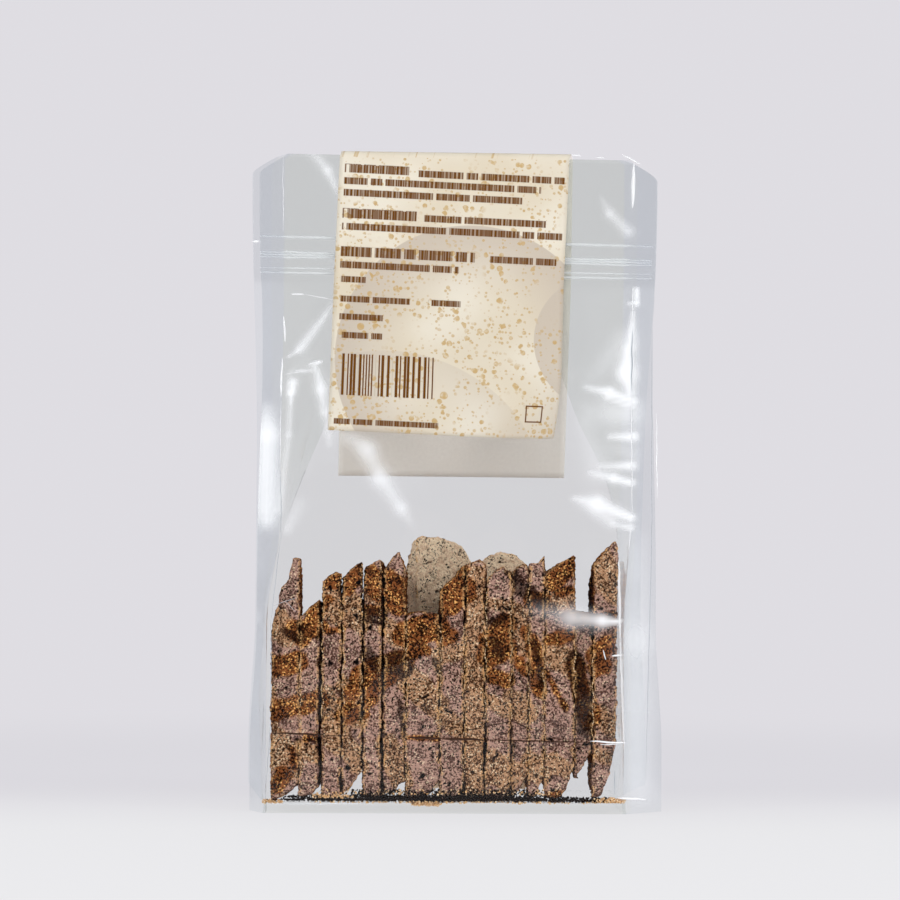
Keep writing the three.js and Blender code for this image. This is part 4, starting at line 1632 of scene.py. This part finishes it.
class POUCH_OT_label(bpy.types.Operator):
    """Makes the folded paper label with its generic print"""

    bl_idname = "pouch.label"
    bl_label = "Label"

    def execute(self, context):
        scene = context.scene
        form = PouchForm(scene.pouch_sizes)
        width = scene.pouch_sizes.label_width / MM
        thickness = scene.pouch_sizes.label_thickness / MM
        inner, down = label_sheet(form, width, 0.0)
        outer, _ = label_sheet(form, width, thickness)
        rows, columns = inner.shape[:2]
        wave = LABEL_WAVE * ripple(inner.reshape(-1, 3), 34.0, 31).reshape(rows, columns)
        inner[:, :, 1] += wave
        outer[:, :, 1] += wave
        points = np.vstack([inner.reshape(-1, 3), outer.reshape(-1, 3)])
        mesh = mesh_from("paper_label", points, sheet_faces(rows, columns))
        point_attribute(mesh, "printed", np.repeat([0.0, 1.0], rows * columns))

        across = np.tile(np.linspace(-width / 2, width / 2, columns), 2 * rows)
        place = np.stack([across, np.tile(down.ravel(), 2)], axis=1)
        corners = np.zeros(len(mesh.loops), np.int32)
        mesh.loops.foreach_get("vertex_index", corners)
        print_place = mesh.uv_layers.new(name="print")
        print_place.data.foreach_set("uv", place[corners].astype(np.float32).ravel())
        finished(object_of(mesh, label_finish(scene.pouch_colours)), "label")
        return {"FINISHED"}


# Print on the label's front, in millimetres from its middle and down from its fold
Bar = namedtuple("Bar", "left right top low")

TEXT_LINES = [
    Bar(-35.5, -14.6, 4.0, 6.8),
    Bar(-11.5, 36.0, 5.0, 7.2),
    Bar(-35.5, 28.5, 8.4, 10.6),
    Bar(-35.5, 22.5, 12.2, 14.4),
    Bar(-35.5, -11.5, 18.4, 21.6),
    Bar(-9.0, 30.5, 19.4, 21.6),
    Bar(-35.5, 36.0, 23.2, 25.4),
    Bar(-35.5, 8.0, 30.8, 34.0),
    Bar(13.0, 34.5, 31.6, 33.8),
    Bar(-35.5, 3.0, 35.6, 37.8),
    Bar(-35.0, -27.0, 40.4, 42.4),
    Bar(-35.0, -12.5, 46.8, 48.8),
    Bar(-6.5, 4.0, 46.8, 48.8),
    Bar(-35.0, -21.0, 52.6, 54.6),
    Bar(-35.0, -21.0, 58.6, 60.6),
    Bar(-35.5, -2.0, 86.6, 88.4),
]
LINE_LEAD = 0.8
WORD_PITCH = 0.42
LETTER_PITCH = 1.5
STRIPES = Bar(-34.5, -4.0, 65.6, 79.0)
MARK = Bar(26.0, 31.8, 79.6, 85.2)
MARK_LINE = 0.45

# Large shaded discs of the ground print: centre, radius, and how far the shade reaches inwards
Disc = namedtuple("Disc", "across down radius fade strength")

SHADED_DISCS = [
    Disc(8.0, 66.0, 44.0, 26.0, 0.9),
    Disc(50.0, 58.0, 22.0, 30.0, 0.8),
    Disc(-18.0, 118.0, 54.0, 22.0, 0.35),
]


def inside(u, v, bar, soft=0.12):
    """1 inside a rectangle, with edges as soft as print."""
    half_wide, half_tall = (bar.right - bar.left) / 2, (bar.low - bar.top) / 2
    across = (u - (bar.left + bar.right) / 2).absolute()
    down = (v - (bar.top + bar.low) / 2).absolute()
    return across.ramp(half_wide + soft, half_wide - soft) * down.ramp(half_tall + soft, half_tall - soft)


def disc_shade(u, v, disc):
    """A disc's shade: strongest at its rim, fading towards its middle."""
    away = ((u - disc.across) ** 2 + (v - disc.down) ** 2) ** 0.5 - disc.radius
    return away.ramp(0.15, -0.15) * away.ramp(-disc.fade, 0) * disc.strength


def spots(finish, place, size, share):
    """Round spots of uneven size, at most half as wide as the given size."""
    distance = finish.cells(place, size)
    chance = finish.cells(place, size, output="Color")
    return ((chance - (1 - share)) * 1.1 - distance).ramp(-0.05, 0.06)


def printed_marks(finish, u, v):
    """Rows of bars broken up like lines of print, a block of stripes and a small square."""
    lines = inside(u, v, TEXT_LINES[0])
    for bar in TEXT_LINES[1:]:
        lines = lines.largest(inside(u, v, bar))
    line = sum(v > top for top in sorted({bar.top - LINE_LEAD for bar in TEXT_LINES}))
    words = finish.noise(finish.joined(u * WORD_PITCH, line * 7), 1.0, detail=0.0)
    strokes = finish.noise(finish.joined(u * LETTER_PITCH, line * 7), 1.0, detail=1.0)
    lines = lines * words.ramp(0.31, 0.34) * (strokes.ramp(0.36, 0.56) * 0.5 + 0.5)
    stripes = inside(u, v, STRIPES) * finish.noise(finish.joined(u * 1.1, 0), 1.0, detail=0.0).ramp(0.49, 0.52)
    inner = Bar(MARK.left + MARK_LINE, MARK.right - MARK_LINE, MARK.top + MARK_LINE, MARK.low - MARK_LINE)
    return lines.largest(stripes).largest(inside(u, v, MARK) - inside(u, v, inner))


def label_finish(colours):
    """Cream paper with ochre spots, large shaded discs and plain brown bars. Its inner side is bare."""
    finish = Finish("label paper")
    place = finish.add("ShaderNodeUVMap", {"uv_map": "print"})
    u, v, _ = finish.axes(place)

    ground = finish.blend(colours.paper, colours.pale_paper, finish.noise(place, 30.0, detail=1.0).ramp(0.35, 0.65))
    for disc in SHADED_DISCS:
        ground = finish.blend(ground, colours.disc, disc_shade(u, v, disc))
    clump = finish.noise(place, 13.0, detail=1.0)
    speckle = spots(finish, place, 2.1, 0.62) * clump.ramp(0.37, 0.49)
    speckle = speckle.largest(spots(finish, place, 1.15, 0.60) * clump.ramp(0.30, 0.50) * 0.8)
    ground = finish.blend(ground, colours.spot, speckle * finish.noise(place, 1.5).ramp(0.15, 0.6) * 0.9)
    ground = finish.blend(ground, colours.ink, printed_marks(finish, u, v))

    fibres = finish.noise(place, 0.9, detail=3.0)
    bare = finish.blend(colours.bare_paper, (0.90, 0.83, 0.79), fibres.ramp(0.3, 0.7))
    ground = finish.blend(bare, ground, finish.stored("printed").ramp(0.4, 0.6))
    matte = {"Specular IOR Level": 0.2}
    return finish.surface(finish.principled(ground, fibres * 0.15 + 0.55, finish.bump(fibres, 0.012), matte))


# ---------------------------------------------------------------------------------------------
# Stage
# ---------------------------------------------------------------------------------------------

FLOOR_RADIUS = 4.0
FLOOR_GAIN = (1.138, 1.158, 1.118)


def area_light(name, place, target, size, brightness, mirrored=True):
    """A rectangular softbox of the given brightness that faces a target. It isn't seen itself."""
    data = bpy.data.lights.new(name, "AREA")
    data.shape = "RECTANGLE"
    data.size, data.size_y = size
    data.energy = brightness * math.pi * size[0] * size[1]
    light = bpy.data.objects.new(name, data)
    light.location = place
    light.rotation_euler = (Vector(target) - Vector(place)).to_track_quat("-Z", "Y").to_euler()
    light.visible_camera = False
    light.visible_glossy = mirrored
    bpy.context.scene.collection.objects.link(light)


def floor_finish(ground):
    """Pale floor: it fades into the backdrop, is a little brighter in front, and isn't mirrored far in front."""
    finish = Finish("floor")
    place = finish.add("ShaderNodeTexCoord", output="Object")
    _, y, _ = finish.axes(place)
    seen = finish.add("ShaderNodeLightPath", output="Is Camera Ray")
    near = tuple(min(part * gain, 1) for part, gain in zip(ground, FLOOR_GAIN))
    glow = finish.blend(ground, near, y.ramp(0.12, -0.12))
    glow = finish.blend(glow, (0.02, 0.025, 0.03), y.ramp(-0.45, -0.6) * (1 - seen))
    away = finish.add("ShaderNodeVectorMath", {"operation": "LENGTH"}, {0: place}, output="Value")
    bright = finish.add("ShaderNodeEmission", {}, {"Color": glow})
    lit = finish.add("ShaderNodeBsdfDiffuse", {}, {"Color": (0.8, 0.79, 0.82, 1)})
    return finish.surface(finish.mixed(lit, bright, away.ramp(0.25, 0.6) * 0.15 + 0.85))


def set_world(ground):
    """Dark room in front, pale wall behind. What the camera sees directly is the pale ground."""
    world = bpy.data.worlds.new("studio")
    world.use_nodes = True
    bpy.context.scene.world = world
    finish = Finish("studio", world.node_tree)
    _, y, _ = finish.axes(finish.add("ShaderNodeTexCoord", output="Generated"))
    room = finish.blend((0.075, 0.10, 0.125), ground, y.ramp(-0.05, 0.45))
    seen = finish.add("ShaderNodeLightPath", output="Is Camera Ray")
    light = finish.add("ShaderNodeBackground", {}, {"Color": finish.blend(room, ground, seen)})
    finish.add("ShaderNodeOutputWorld", {}, {"Surface": light})


class POUCH_OT_stage(bpy.types.Operator):
    """Makes the camera, the floor, the softboxes and the room"""

    bl_idname = "pouch.stage"
    bl_label = "Stage"

    def execute(self, context):
        scene = context.scene
        studio = scene.pouch_studio
        ground = tuple(scene.pouch_colours.back)

        data = bpy.data.cameras.new("camera")
        data.lens = studio.lens
        data.sensor_width = 36
        data.clip_start = 0.05
        data.shift_x = -0.00488
        camera = bpy.data.objects.new("camera", data)
        camera.location = (
            -studio.distance * math.sin(studio.azimuth),
            -studio.distance * math.cos(studio.azimuth),
            studio.eye,
        )
        look = Vector((math.sin(studio.azimuth), math.cos(studio.azimuth), 0))
        turn = look.to_track_quat("-Z", "Y").to_matrix()
        camera.rotation_euler = (turn @ Matrix.Rotation(studio.roll, 3, "Z")).to_euler()
        scene.collection.objects.link(camera)
        scene.camera = camera

        bpy.ops.mesh.primitive_circle_add(vertices=96, radius=FLOOR_RADIUS, fill_type="NGON")
        floor = context.object
        floor.name = "floor"
        floor.data.materials.append(floor_finish(ground))

        target = (0, 0, 0.09)
        area_light("left softbox", (-1.0, -0.75, 0.35), target, (0.6, 0.9), studio.softbox * 0.6, mirrored=False)
        area_light("right softbox", (1.0, -0.75, 0.35), target, (0.65, 0.9), studio.softbox * 0.6, mirrored=False)
        area_light("left strip", (-1.0, -0.75, 0.35), target, (0.14, 0.9), studio.softbox * 1.8)
        area_light("right strip", (1.0, -0.75, 0.35), target, (0.14, 0.9), studio.softbox * 1.8)
        area_light("top softbox", (0, -0.55, 1.1), target, (0.9, 0.5), studio.softbox * 0.45, mirrored=False)
        area_light("front card", (0, -0.95, 0.004), (0, -0.95, 1.0), (1.3, 1.0), 0.8, mirrored=False)
        area_light("fill", (0, -1.4, 0.55), target, (1.6, 1.0), studio.fill, mirrored=False)

        set_world(ground)
        scene.view_settings.view_transform = "Standard"
        scene.cycles.transparent_max_bounces = 32
        return {"FINISHED"}


# ---------------------------------------------------------------------------------------------
# Add-on
# ---------------------------------------------------------------------------------------------

OPERATORS = [
    POUCH_OT_stage,
    POUCH_OT_slices,
    POUCH_OT_crumbs,
    POUCH_OT_film,
    POUCH_OT_zip,
    POUCH_OT_creases,
    POUCH_OT_label,
]


class POUCH_PT_panel(bpy.types.Panel):
    """Sizes, colours and pieces of the pouch"""

    bl_idname = "POUCH_PT_panel"
    bl_label = "Biscotti Pouch"
    bl_space_type = "VIEW_3D"
    bl_region_type = "UI"
    bl_category = "Pouch"

    def draw(self, context):
        layout = self.layout
        for settings, group in SETTINGS.items():
            box = layout.box()
            box.label(text=group.__doc__)
            for name in group.__annotations__:
                box.prop(getattr(context.scene, settings), name)
        for operator in OPERATORS:
            layout.operator(operator.bl_idname)


CLASSES = [*SETTINGS.values(), *OPERATORS, POUCH_PT_panel]


def register():
    for item in CLASSES:
        bpy.utils.register_class(item)
    for name, group in SETTINGS.items():
        setattr(bpy.types.Scene, name, bpy.props.PointerProperty(type=group))


def unregister():
    for name in SETTINGS:
        delattr(bpy.types.Scene, name)
    for item in reversed(CLASSES):
        bpy.utils.unregister_class(item)


def main():
    register()
    for operator in OPERATORS:
        group, name = operator.bl_idname.split(".")
        getattr(getattr(bpy.ops, group), name)()


if __name__ == "__main__":
    main()
